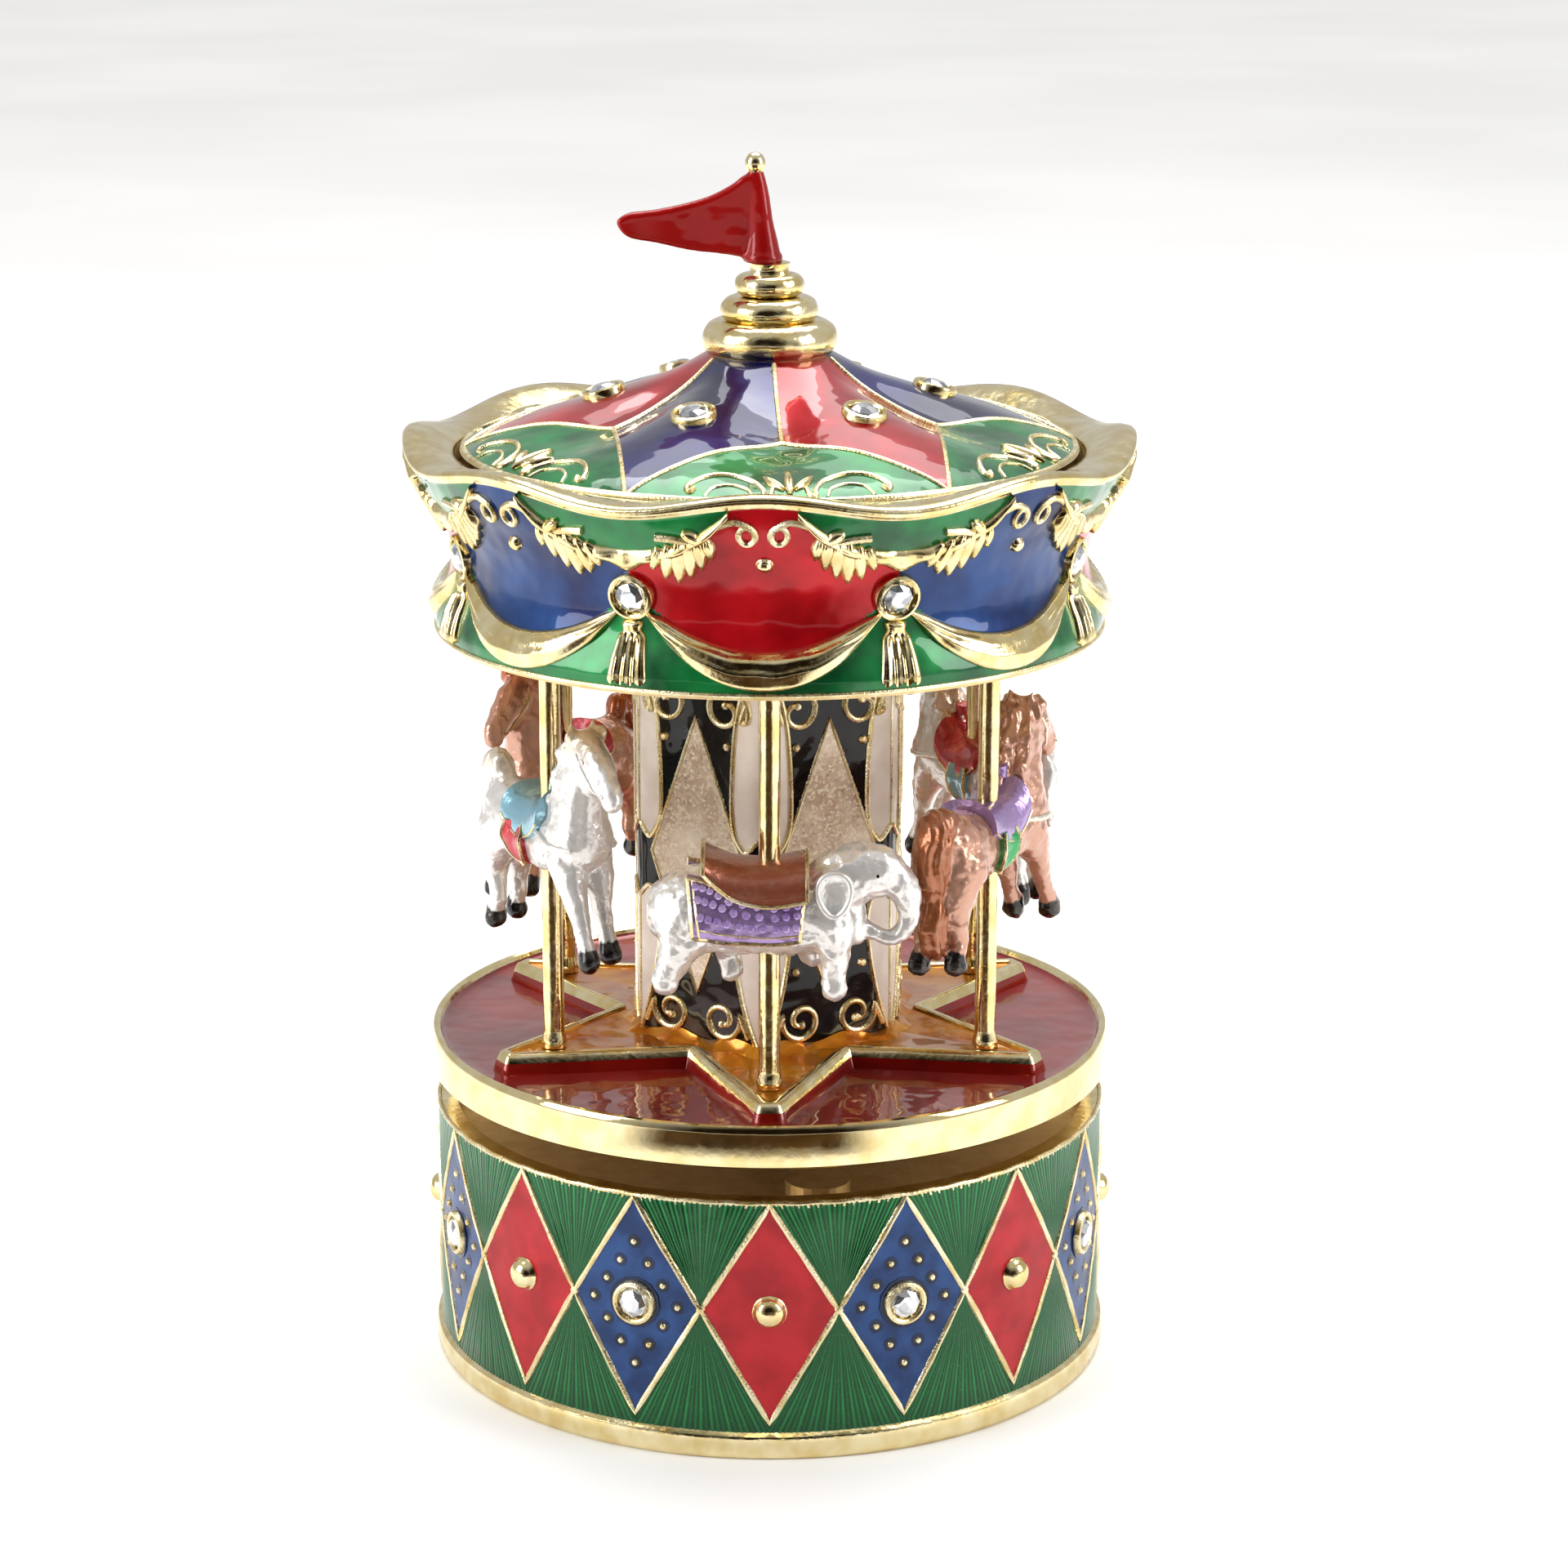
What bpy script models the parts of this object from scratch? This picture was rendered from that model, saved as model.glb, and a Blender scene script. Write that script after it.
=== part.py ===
"""Carousel music box: an enamelled metal carousel that turns on a drum with a key-wound movement."""
import math

import bmesh
import bpy
from mathutils import Matrix, Vector

# Driving dimensions in millimetres; the origin is the middle of the base, the front is -Y.
MM = 0.001
GAP = 0.3
RUNNING_GAP = 0.08

DRUM_R = 34.4
FOOT_R = 35.0
FOOT_H = 2.6
DRUM_H = 26.6
DRUM_BORE_R = 32.2
RECESS_R = 33.2
COVER_Z = 7.0
COVER_T = 1.2
INNER_COVER_Z = 23.6
INNER_COVER_T = 1.0

PLATFORM_R = 35.0
PLATFORM_Z = 30.0
PLATFORM_RIM_Z = 34.4
FLOOR_Z = 33.4
STAR_Z = 35.4
STAR_TIP_R = 30.8
STAR_NOTCH_R = 15.9

RIDES = 6
POLE_R = 1.05
POLE_CIRCLE_R = 25.05
POLE_FOOT_Z = 31.4
POLE_TOP_Z = 78.9

COLUMN_APOTHEM = 13.25
COLUMN_CORNER_R = 14.6
COLUMN_BORE_R = 6.0
COLUMN_TURN = -3.4
CEILING_Z = 77.4
CEILING_T = 1.2
CEILING_R = 29.6
TIE_ROD_R = 1.0
SCREW_HOLE_R = 1.1

VALANCE_LOBES = 8
VALANCE_PROFILE = [
    (36.7, 94.9), (35.8, 92.9), (35.0, 91.3), (33.1, 88.0), (32.0, 83.0), (33.2, 79.5), (33.7, 77.9),
]
RIM_WAVE = 0.9
ROOF_PROFILE = [
    (6.7, 103.4), (9.8, 101.8), (14.0, 100.4), (21.0, 98.4), (25.0, 97.0), (28.7, 95.5), (30.8, 94.2),
]
ROOF_T = 1.4
FINIAL_RINGS = [(6.74, 105.3, 1.6), (4.86, 107.9, 1.0), (3.48, 110.3, 1.1)]

MOVEMENT_TURN = -115.8
BEDPLATE_Z = 8.5
BEDPLATE_TOP = 10.6
BARREL_AT = (-13.2, 9.0)
BARREL_R = 6.5
BARREL_TEETH = 29
TURNTABLE_TEETH = 17
WHEEL_Z = 11.2
WHEEL_T = 1.2
SPINDLE_R = 1.5
ARBOR_R = 1.3
CYLINDER_Y = BARREL_AT[1]
CYLINDER_Z = 17.6
CYLINDER_R = 4.4
CYLINDER_X = (2.6, 20.6)
PIN_R = 0.25
PIN_H = 0.4
COMB_TEETH = 18
COMB_Z = 17.2
COMB_SCREW_X = (6.0, 17.0)
COMB_SCREW_Y = -10.2
CLICK_FROM_ARBOR = 8.4
CROWN_TEETH = 24
PINION_TEETH = 12
CYLINDER_WHEEL_TEETH = 30
GOVERNOR_AT = (21.65, 15.7)

COLOURS = {
    "gold": (0.80, 0.62, 0.28),
    "satin_gold": (0.42, 0.29, 0.08),
    "enamel_green": (0.02, 0.17, 0.05),
    "enamel_red": (0.45, 0.02, 0.02),
    "enamel_navy": (0.02, 0.02, 0.12),
    "enamel_black": (0.015, 0.012, 0.01),
    "white_pearl": (0.80, 0.78, 0.76),
    "brown_pearl": (0.42, 0.20, 0.11),
    "tan_pearl": (0.60, 0.45, 0.36),
    "steel": (0.50, 0.50, 0.52),
    "brass": (0.70, 0.52, 0.20),
    "zinc": (0.45, 0.46, 0.48),
}
METALS = ("gold", "satin_gold", "steel", "brass", "zinc")


def clear_scene():
    for item in list(bpy.data.objects):
        bpy.data.objects.remove(item, do_unlink=True)


def new_collection(name):
    made = bpy.data.collections.new(name)
    bpy.context.scene.collection.children.link(made)
    return made


clear_scene()
PARTS = new_collection("carousel_music_box")
CUTTERS = new_collection("cutters")
SHAPES = new_collection("working_shapes")
MOVEMENT_FRAME = Matrix.Rotation(math.radians(MOVEMENT_TURN), 4, "Z")


def add_material(thing, name, colour):
    mat = bpy.data.materials.new(name + "_" + colour)
    mat.use_nodes = True
    shader = mat.node_tree.nodes["Principled BSDF"]
    shader.inputs["Base Color"].default_value = (*COLOURS[colour], 1.0)
    shader.inputs["Metallic"].default_value = 1.0 if colour in METALS else 0.0
    shader.inputs["Roughness"].default_value = 0.25
    thing.data.materials.append(mat)


def place(thing, frame):
    thing.matrix_world = frame
    return thing


def at(x=0.0, y=0.0, z=0.0):
    return Matrix.Translation(Vector((x, y, z)) * MM)


def turn(degrees, axis="Z"):
    return Matrix.Rotation(math.radians(degrees), 4, axis)


def ring_places(count, start=0.0):
    """Angles in degrees, evenly round the axis, 0 at the front and growing towards +X."""
    return [start + 360.0 * i / count for i in range(count)]


def add_mesh(name, shape, colour=None, frame=None):
    """Makes an object from a bmesh."""
    mesh = bpy.data.meshes.new(name)
    shape.to_mesh(mesh)
    shape.free()
    thing = bpy.data.objects.new(name, mesh)
    (PARTS if colour else SHAPES).objects.link(thing)
    if colour:
        add_material(thing, name, colour)
    if frame:
        place(thing, frame)
    return thing


def smooth(thing, degrees=35):
    thing.data.shade_smooth()
    thing.data.set_sharp_from_angle(angle=math.radians(degrees))
    return thing


def turned(name, profile, colour=None, frame=None, steps=48):
    """A turned shape. The profile runs down the outer side; an open one starts and ends on the axis."""
    shape = bmesh.new()
    points = [shape.verts.new((r * MM, 0, z * MM)) for r, z in profile]
    closed = min(r for r, z in profile) > 0
    for first, second in zip(points, points[1:] + points[:1] if closed else points[1:]):
        shape.edges.new((first, second))
    thing = add_mesh(name, shape, colour, frame)
    screw = thing.modifiers.new("turn", "SCREW")
    screw.steps = screw.render_steps = steps
    screw.use_merge_vertices = True
    screw.merge_threshold = 0.00001
    screw.use_smooth_shade = False
    return thing


def box(name, low, high, colour=None, frame=None):
    shape = bmesh.new()
    size = [(b - a) * MM for a, b in zip(low, high)]
    middle = [(a + b) / 2 * MM for a, b in zip(low, high)]
    bmesh.ops.create_cube(shape, size=1.0)
    bmesh.ops.scale(shape, vec=size, verts=shape.verts)
    bmesh.ops.translate(shape, vec=middle, verts=shape.verts)
    return add_mesh(name, shape, colour, frame)


def rod(name, radius, low, high, colour=None, frame=None, sides=16):
    """A round bar along its frame's Z, from low to high."""
    shape = bmesh.new()
    add_rod(shape, radius, low, high, sides=sides)
    return add_mesh(name, shape, colour, frame)


def add_rod(shape, radius, low, high, frame=Matrix(), sides=16):
    bmesh.ops.create_cone(
        shape,
        cap_ends=True,
        segments=sides,
        radius1=radius * MM,
        radius2=radius * MM,
        depth=(high - low) * MM,
        matrix=frame @ at(0, 0, (low + high) / 2),
    )


def flat(name, outlines, low, high, colour=None, frame=None):
    """A flat outline, with any holes after it, given thickness from low to high along its frame's Z."""
    curve = bpy.data.curves.new(name, "CURVE")
    curve.dimensions = "2D"
    curve.fill_mode = "BOTH"
    curve.extrude = (high - low) / 2 * MM
    for outline in outlines:
        line = curve.splines.new("POLY")
        line.points.add(len(outline) - 1)
        for point, (x, y) in zip(line.points, outline):
            point.co = (x * MM, y * MM, 0, 1)
        line.use_cyclic_u = True
    source = bpy.data.objects.new(name + "_curve", curve)
    SHAPES.objects.link(source)
    bpy.context.view_layer.update()
    mesh = bpy.data.meshes.new_from_object(source.evaluated_get(bpy.context.evaluated_depsgraph_get()))
    bpy.data.objects.remove(source, do_unlink=True)
    shape = bmesh.new()
    shape.from_mesh(mesh)
    bpy.data.meshes.remove(mesh)
    bmesh.ops.remove_doubles(shape, verts=shape.verts, dist=0.000001)
    bmesh.ops.recalc_face_normals(shape, faces=shape.faces)
    bmesh.ops.translate(shape, vec=(0, 0, (low + high) / 2 * MM), verts=shape.verts)
    return add_mesh(name, shape, colour, frame)


def move_origin(thing, frame):
    """Puts the object's origin on a new frame, with its shape left where it is."""
    thing.data.transform(frame.inverted() @ thing.matrix_world)
    thing.matrix_world = frame


def circle(radius, x=0.0, y=0.0, sides=24):
    return [
        (x + radius * math.cos(2 * math.pi * i / sides), y + radius * math.sin(2 * math.pi * i / sides))
        for i in range(sides)
    ]


def gear_outline(teeth, pitch_r, addendum, dedendum, width=0.40, phase=0.0):
    """Straight-sided teeth; width is the tooth's share of the pitch at the pitch circle, phase in teeth."""
    points = []
    for i in range(teeth):
        for offset, radius in (
            (-0.5 * width - 0.06, pitch_r - dedendum),
            (-0.5 * width + 0.06, pitch_r + addendum),
            (0.5 * width - 0.06, pitch_r + addendum),
            (0.5 * width + 0.06, pitch_r - dedendum),
        ):
            angle = 2 * math.pi * (i + phase + offset) / teeth
            points.append((radius * math.cos(angle), radius * math.sin(angle)))
    return points


def combine(target, tools, operation):
    """Cuts the target with the tools, or joins them to it. The tools stay out of the finished part."""
    tools = tools if isinstance(tools, list) else [tools]
    for tool in tools:
        for home in list(tool.users_collection):
            home.objects.unlink(tool)
        CUTTERS.objects.link(tool)
        tool.hide_render = True
        tool.display_type = "WIRE"
        change = target.modifiers.new(operation.lower(), "BOOLEAN")
        change.operation = operation
        change.object = tool
        change.solver = "EXACT"
    return target


def cut(target, tools):
    return combine(target, tools, "DIFFERENCE")


def join(target, tools):
    return combine(target, tools, "UNION")


def screws(name, places, low, high, head_low, head_r=1.6, frame=Matrix()):
    """Cheese-head screws, one object each. A head below the shank's low end makes it point upwards."""
    shank_r = head_r * 0.5
    head_high = head_low + 0.8
    if head_low < low:
        rings = [(head_r, head_low), (head_r, head_high), (shank_r, head_high), (shank_r, high)]
    else:
        rings = [(shank_r, low), (shank_r, head_low), (head_r, head_low), (head_r, head_high)]
    profile = [(0.0, rings[-1][1])] + rings[::-1] + [(0.0, rings[0][1])]
    for i, (x, y) in enumerate(places):
        turned("%s_%d" % (name, i + 1), profile, "steel", frame @ at(x, y), steps=8)


# ---- drum ----


def make_drum():
    profile = [
        (DRUM_R - 0.9, DRUM_H),
        (DRUM_R - 0.2, DRUM_H - 0.3),
        (DRUM_R, FOOT_H),
        (FOOT_R - 0.2, FOOT_H - 0.1),
        (FOOT_R, FOOT_H - 0.8),
        (FOOT_R, 0.5),
        (FOOT_R - 0.4, 0.0),
        (RECESS_R - 0.8, 0.0),
        (RECESS_R - 0.8, 0.6),
        (RECESS_R, 1.4),
        (RECESS_R, COVER_Z + COVER_T + GAP),
        (DRUM_BORE_R, COVER_Z + COVER_T + GAP),
        (DRUM_BORE_R, INNER_COVER_Z - GAP),
        (RECESS_R, INNER_COVER_Z - GAP),
        (RECESS_R, DRUM_H),
    ]
    drum = turned("base_drum", profile, "enamel_green", steps=48)
    lugs = []
    for x, y in lug_places():
        lug = rod("drum_lug", 2.2, COVER_Z + COVER_T + GAP, 15.0, frame=MOVEMENT_FRAME @ at(x, y), sides=12)
        lugs.append(lug)
        web = box("lug_web", (-1.8, 0, COVER_Z + COVER_T + GAP), (1.8, 2.2, 15.0))
        place(web, MOVEMENT_FRAME @ at(x, y) @ turn(math.degrees(math.atan2(y, x)) - 90))
        lugs.append(web)
    join(drum, lugs)
    holes = [
        rod("lug_hole", SCREW_HOLE_R, COVER_Z, 13.5, frame=MOVEMENT_FRAME @ at(*spot), sides=12)
        for spot in lug_places()
    ]
    return cut(drum, holes)


def lug_places():
    return [(x, y) for x in (-18.5, 18.5) for y in (-25.0, 25.0)]


def movement_screw_places():
    return [(-20.0, -9.0), (20.0, -2.5), (3.0, 18.0)]


def make_covers():
    rim = circle(RECESS_R - GAP, sides=48)
    holes = [circle(SCREW_HOLE_R, *spot, sides=12) for spot in lug_places() + movement_screw_places()]
    holes.append(circle(ARBOR_R + 0.5, *BARREL_AT, sides=16))
    flat("bottom_cover", [rim] + holes, COVER_Z, COVER_Z + COVER_T, "satin_gold", MOVEMENT_FRAME)
    screws("cover_screw", lug_places(), COVER_Z, 12.6, COVER_Z - GAP - 0.8, frame=MOVEMENT_FRAME)
    low, high = INNER_COVER_Z, INNER_COVER_Z + INNER_COVER_T
    inner = flat("inner_cover", [rim, circle(3.3)], low, high, "satin_gold", MOVEMENT_FRAME)
    cap_frame = MOVEMENT_FRAME @ at(*GOVERNOR_AT)
    join(inner, rod("governor_cap", 3.2, high - 0.5, high + 1.5, frame=cap_frame, sides=24))
    bush_profile = [
        (4.2, high + GAP + 0.7),
        (4.2, high + GAP),
        (3.0, high + GAP),
        (3.0, low - 0.6),
        (SPINDLE_R + RUNNING_GAP, low - 0.6),
        (SPINDLE_R + RUNNING_GAP, high + GAP + 0.7),
    ]
    turned("spindle_bush", bush_profile, "brass", steps=24)


# ---- movement ----


def make_bedplate():
    chamfer = 6.0
    x, low, high = 24.5, -13.5, 22.0
    outline = [
        (-x + chamfer, low),
        (x - chamfer, low),
        (x, low + chamfer),
        (x, high - chamfer),
        (x - chamfer, high),
        (-x + chamfer, high),
        (-x, high - chamfer),
        (-x, low + chamfer),
    ]
    arbor_hole = circle(ARBOR_R + RUNNING_GAP, *BARREL_AT)
    screw_holes = [circle(SCREW_HOLE_R, *spot, sides=12) for spot in movement_screw_places()]
    outlines = [outline, arbor_hole] + screw_holes
    plate = flat("movement_bedplate", outlines, BEDPLATE_Z, BEDPLATE_TOP, "zinc", MOVEMENT_FRAME)
    seat_low, seat_high = (2.2, -13.0, BEDPLATE_TOP - 0.5), (21.2, -7.4, COMB_Z - GAP)
    seat = box("comb_seat", seat_low, seat_high, frame=MOVEMENT_FRAME)
    join(plate, seat)
    cut(
        plate,
        [
            rod("comb_screw_hole", 1.0, 13.0, COMB_Z, frame=MOVEMENT_FRAME @ at(sx, COMB_SCREW_Y), sides=12)
            for sx in COMB_SCREW_X
        ],
    )
    spots = movement_screw_places()
    screws("movement_screw", spots, COVER_Z, 10.4, COVER_Z - GAP - 0.8, frame=MOVEMENT_FRAME)


def make_comb():
    """A plate with one free tooth for each note; the tips stop short of the cylinder's pins."""
    low_x, high_x = CYLINDER_X
    pitch = (high_x - low_x) / COMB_TEETH
    root_y = -7.4
    tip_y = CYLINDER_Y - CYLINDER_R - PIN_H - GAP
    outline = [(low_x, -13.0), (high_x, -13.0)]
    for i in reversed(range(COMB_TEETH)):
        right = low_x + (i + 0.85) * pitch
        left = low_x + (i + 0.15) * pitch
        outline += [(right, root_y), (right, tip_y), (left, tip_y), (left, root_y)]
    holes = [circle(1.0, x, COMB_SCREW_Y, 12) for x in COMB_SCREW_X]
    flat("tuned_comb", [outline] + holes, COMB_Z, COMB_Z + 0.8, "steel", MOVEMENT_FRAME)
    spots = [(x, COMB_SCREW_Y) for x in COMB_SCREW_X]
    screws("comb_screw", spots, 13.3, COMB_Z, COMB_Z + 0.8 + GAP, head_r=1.4, frame=MOVEMENT_FRAME)


def along_x(x, y=CYLINDER_Y, z=CYLINDER_Z):
    """A frame in the movement whose Z runs along the movement's X."""
    return MOVEMENT_FRAME @ at(x, y, z) @ turn(90, "Y")


def make_cylinder():
    low, high = CYLINDER_X
    arbor_r = 1.0
    profile = [
        (0.0, 24.6),
        (arbor_r, 24.6),
        (arbor_r, high + 0.4),
        (CYLINDER_R, high + 0.4),
        (CYLINDER_R, low - 0.4),
        (arbor_r, low - 0.4),
        (arbor_r, -5.6),
        (0.0, -5.6),
    ]
    body = turned("pinned_cylinder", profile, "brass", along_x(0), steps=24)
    pitch = (high - low) / COMB_TEETH
    pins = bmesh.new()
    for i in range(COMB_TEETH):
        angle = 137.5 * i
        spot = at(0, 0, low + (i + 0.5) * pitch) @ turn(angle) @ turn(90, "X")
        add_rod(pins, PIN_R, CYLINDER_R - 0.3, CYLINDER_R + PIN_H, spot, sides=4)
    join(body, add_mesh("pins", pins, None, along_x(0)))
    bore = circle(arbor_r + GAP, sides=16)
    pinion = gear_outline(PINION_TEETH, 3.7, 0.35, 0.7)
    wheel = gear_outline(CYLINDER_WHEEL_TEETH, 4.8, 0.3, 0.4)
    flat("cylinder_pinion", [pinion, bore], -5.0, -3.8, "brass", along_x(0))
    flat("cylinder_wheel", [wheel, bore], 21.3, 22.0, "brass", along_x(0))
    for name, x in (("cylinder_bearing_left", -0.6), ("cylinder_bearing_right", 22.4)):
        plate = box(name, (x, 6.9, BEDPLATE_TOP + GAP), (x + 1.2, 11.4, 20.6), "zinc", MOVEMENT_FRAME)
        cut(plate, rod("arbor_hole", arbor_r + RUNNING_GAP, x - 1, x + 3, frame=along_x(0), sides=24))


def make_barrel():
    x, y = BARREL_AT
    frame = MOVEMENT_FRAME @ at(x, y)
    distance = math.hypot(x, y)
    module = 2 * distance / (BARREL_TEETH + TURNTABLE_TEETH)
    towards_spindle = math.degrees(math.atan2(-y, -x))
    barrel_pitch_r = module * BARREL_TEETH / 2
    turntable_pitch_r = module * TURNTABLE_TEETH / 2
    depth = (0.55 * module, 0.9 * module)
    hole = circle(ARBOR_R + GAP)
    outline = gear_outline(BARREL_TEETH, barrel_pitch_r, *depth)
    flat("barrel_gear", [outline, hole], WHEEL_Z, WHEEL_Z + WHEEL_T, "brass", frame @ turn(towards_spindle))
    outline = gear_outline(TURNTABLE_TEETH, turntable_pitch_r, *depth, phase=0.5)
    flat(
        "turntable_gear", [outline, circle(SPINDLE_R + GAP)], WHEEL_Z, WHEEL_Z + WHEEL_T, "brass",
        MOVEMENT_FRAME @ turn(towards_spindle + 180),
    )
    low = WHEEL_Z + WHEEL_T + GAP
    crown_low_r, crown_high_r = 7.6, 9.3
    crown_top = low + 0.6
    crown_profile = [
        (crown_high_r, crown_top),
        (crown_high_r, low),
        (crown_low_r, low),
        (crown_low_r, crown_top),
    ]
    crown = turned("crown_wheel", crown_profile, "brass", frame, steps=24)
    slots = bmesh.new()
    for angle in ring_places(CROWN_TEETH):
        slot = turn(angle) @ at((crown_low_r + crown_high_r) / 2, 0, crown_top)
        size = Matrix.Diagonal((3.0 * MM, 1.3 * MM, 0.7 * MM, 1.0))
        bmesh.ops.create_cube(slots, size=1.0, matrix=slot @ size)
    cut(crown, add_mesh("crown_slots", slots, None, frame))
    wall_top = 19.4
    wall_profile = [
        (BARREL_R, wall_top),
        (BARREL_R, low),
        (ARBOR_R + GAP, low),
        (ARBOR_R + GAP, low + 0.6),
        (BARREL_R - 0.6, low + 0.6),
        (BARREL_R - 0.6, wall_top),
    ]
    turned("spring_barrel", wall_profile, "brass", frame, steps=32)
    lid = [
        (BARREL_R, wall_top + GAP + 0.6),
        (BARREL_R, wall_top + GAP),
        (ARBOR_R + GAP, wall_top + GAP),
        (ARBOR_R + GAP, wall_top + GAP + 0.6),
    ]
    turned("barrel_lid", lid, "brass", frame, steps=32)
    make_mainspring(frame, low + 0.6 + GAP, wall_top - GAP)


def make_mainspring(frame, low, high):
    """A flat spiral ribbon that fills the barrel between the arbor and the wall."""
    turns, points_per_turn, thickness = 4, 12, 0.18
    inner_r, outer_r = ARBOR_R + 2 * GAP, BARREL_R - 0.6 - GAP
    inside, outside = [], []
    for i in range(turns * points_per_turn + 1):
        share = i / (turns * points_per_turn)
        angle = 2 * math.pi * turns * share
        radius = inner_r + (outer_r - thickness - inner_r) * share
        inside.append((radius * math.cos(angle), radius * math.sin(angle)))
        outside.append(((radius + thickness) * math.cos(angle), (radius + thickness) * math.sin(angle)))
    flat("mainspring", [inside + outside[::-1]], low, high, "steel", frame)


def make_winding():
    x, y = BARREL_AT
    frame = MOVEMENT_FRAME @ at(x, y)
    rod("winding_arbor", ARBOR_R, 1.6, 22.6, "steel", frame, sides=24)
    ratchet = []
    teeth, tip_r, root_r = 14, 4.0, 3.2
    for i in range(teeth):
        ratchet.append((root_r, 2 * math.pi * i / teeth))
        ratchet.append((tip_r, 2 * math.pi * (i + 0.9) / teeth))
    outline = [(r * math.cos(a), r * math.sin(a)) for r, a in ratchet]
    flat("ratchet_wheel", [outline, circle(ARBOR_R + GAP, sides=16)], 20.6, 21.3, "steel", frame)
    pawl = [(4.3, 0.1), (4.9, -0.6), (8.0, -1.3), (9.2, -0.6), (9.2, 0.8), (8.0, 1.1)]
    click_side = frame @ turn(180)
    click_x = CLICK_FROM_ARBOR
    click = flat("winding_click", [pawl, circle(0.45, click_x, 0.0, 12)], 20.6, 21.3, "steel", click_side)
    move_origin(click, click_side @ at(click_x))
    bridge_low, bridge_high = 21.6, 22.4
    bridge = box("barrel_bridge", (-3.0, -14.2, bridge_low), (3.0, 12.9, bridge_high), "zinc", frame)
    legs = [
        box("bridge_leg", (-3.0, y0, BEDPLATE_TOP + GAP), (3.0, y1, bridge_high - 0.3), frame=frame)
        for y0, y1 in ((-14.2, -11.0), (11.0, 12.9))
    ]
    arm = box("click_arm", (2.0, -1.4, bridge_low), (click_x + 1.2, 1.4, bridge_high), frame=click_side)
    join(bridge, legs + [arm])
    peg = rod("click_peg", 0.35, 20.4, bridge_high - 0.3, frame=click_side @ at(click_x), sides=12)
    join(bridge, peg)
    cut(bridge, rod("arbor_hole", ARBOR_R + RUNNING_GAP, 20.0, 23.5, frame=frame, sides=24))
    make_key(frame)


def make_key(frame):
    half_length, waist, lobe_r = 8.0, 1.5, 2.3
    middle_z = 1.2 + lobe_r
    outline = []
    for side in (1, -1):
        for i in range(9):
            angle = math.radians(-120 + 30 * i)
            x = side * (half_length - lobe_r + lobe_r * math.cos(angle))
            outline.append((x, middle_z + side * lobe_r * math.sin(angle)))
        outline.append((0.0, middle_z + waist * side))
    key = flat("winding_key", [outline], -0.8, 0.8, "brass", frame @ turn(25) @ turn(90, "X"))
    hub = rod("key_hub", 2.3, 1.2, 6.6, frame=frame, sides=16)
    join(key, hub)
    cut(key, rod("key_bore", ARBOR_R + GAP, 1.3, 8.0, frame=frame, sides=16))


def make_governor():
    gx, gy = GOVERNOR_AT
    frame = MOVEMENT_FRAME @ at(gx, gy)
    shaft_r = 0.5
    worm_profile = [
        (0.0, 22.4),
        (shaft_r, 22.4),
        (shaft_r, 19.6),
        (1.2, 19.3),
        (1.2, 15.9),
        (shaft_r, 15.6),
        (shaft_r, 11.9),
        (0.0, 11.9),
    ]
    turned("governor_worm", worm_profile, "steel", frame, steps=16)
    fan = box("air_brake_fan", (-2.6, -0.2, 12.9), (2.6, 0.2, 15.0), "brass", frame)
    join(fan, rod("fan_hub", 1.3, 12.9, 15.0, frame=frame, sides=12))
    cut(fan, rod("fan_bore", shaft_r + GAP, 12.0, 16.0, frame=frame, sides=12))
    frame_low = BEDPLATE_TOP + GAP
    holder = box("governor_frame", (-1.6, 3.2, frame_low), (1.6, 4.4, 23.1), "zinc", frame)
    arms = [
        box("governor_arm", (-1.6, -1.4, z), (1.6, 3.6, z + 0.8), frame=frame) for z in (frame_low, 22.3)
    ]
    join(holder, arms)
    cut(holder, rod("pivot_hole", shaft_r + RUNNING_GAP, 11.2, 22.6, frame=frame, sides=16))


def make_spindle():
    profile = [
        (0.0, 32.0),
        (SPINDLE_R, 32.0),
        (SPINDLE_R, BEDPLATE_TOP + GAP),
        (0.0, BEDPLATE_TOP + GAP),
    ]
    turned("turntable_spindle", profile, "steel", steps=24)


# ---- turntable ----


def make_platform():
    profile = [
        (0.0, FLOOR_Z),
        (PLATFORM_R - 1.4, FLOOR_Z),
        (PLATFORM_R - 1.2, PLATFORM_RIM_Z),
        (PLATFORM_R - 0.3, PLATFORM_RIM_Z),
        (PLATFORM_R, PLATFORM_RIM_Z - 0.4),
        (PLATFORM_R - 0.15, PLATFORM_Z + 1.2),
        (PLATFORM_R - 0.4, PLATFORM_Z),
        (5.0, PLATFORM_Z),
        (5.0, 27.0),
        (0.0, 27.0),
    ]
    platform = turned("turntable_platform", profile, "gold", steps=48)
    foot = POLE_FOOT_Z - GAP
    cut(platform, [rod("pole_hole", POLE_R + GAP, foot, 36.0, frame=f, sides=8) for f in pole_frames()])
    cut(platform, rod("spindle_bore", SPINDLE_R + GAP, 26.0, 32.3, sides=24))


def pole_places():
    angles = [math.radians(a) for a in ring_places(RIDES)]
    return [(POLE_CIRCLE_R * math.sin(a), -POLE_CIRCLE_R * math.cos(a)) for a in angles]


def pole_frames():
    return [turn(a) @ at(0, -POLE_CIRCLE_R) for a in ring_places(RIDES)]


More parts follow.
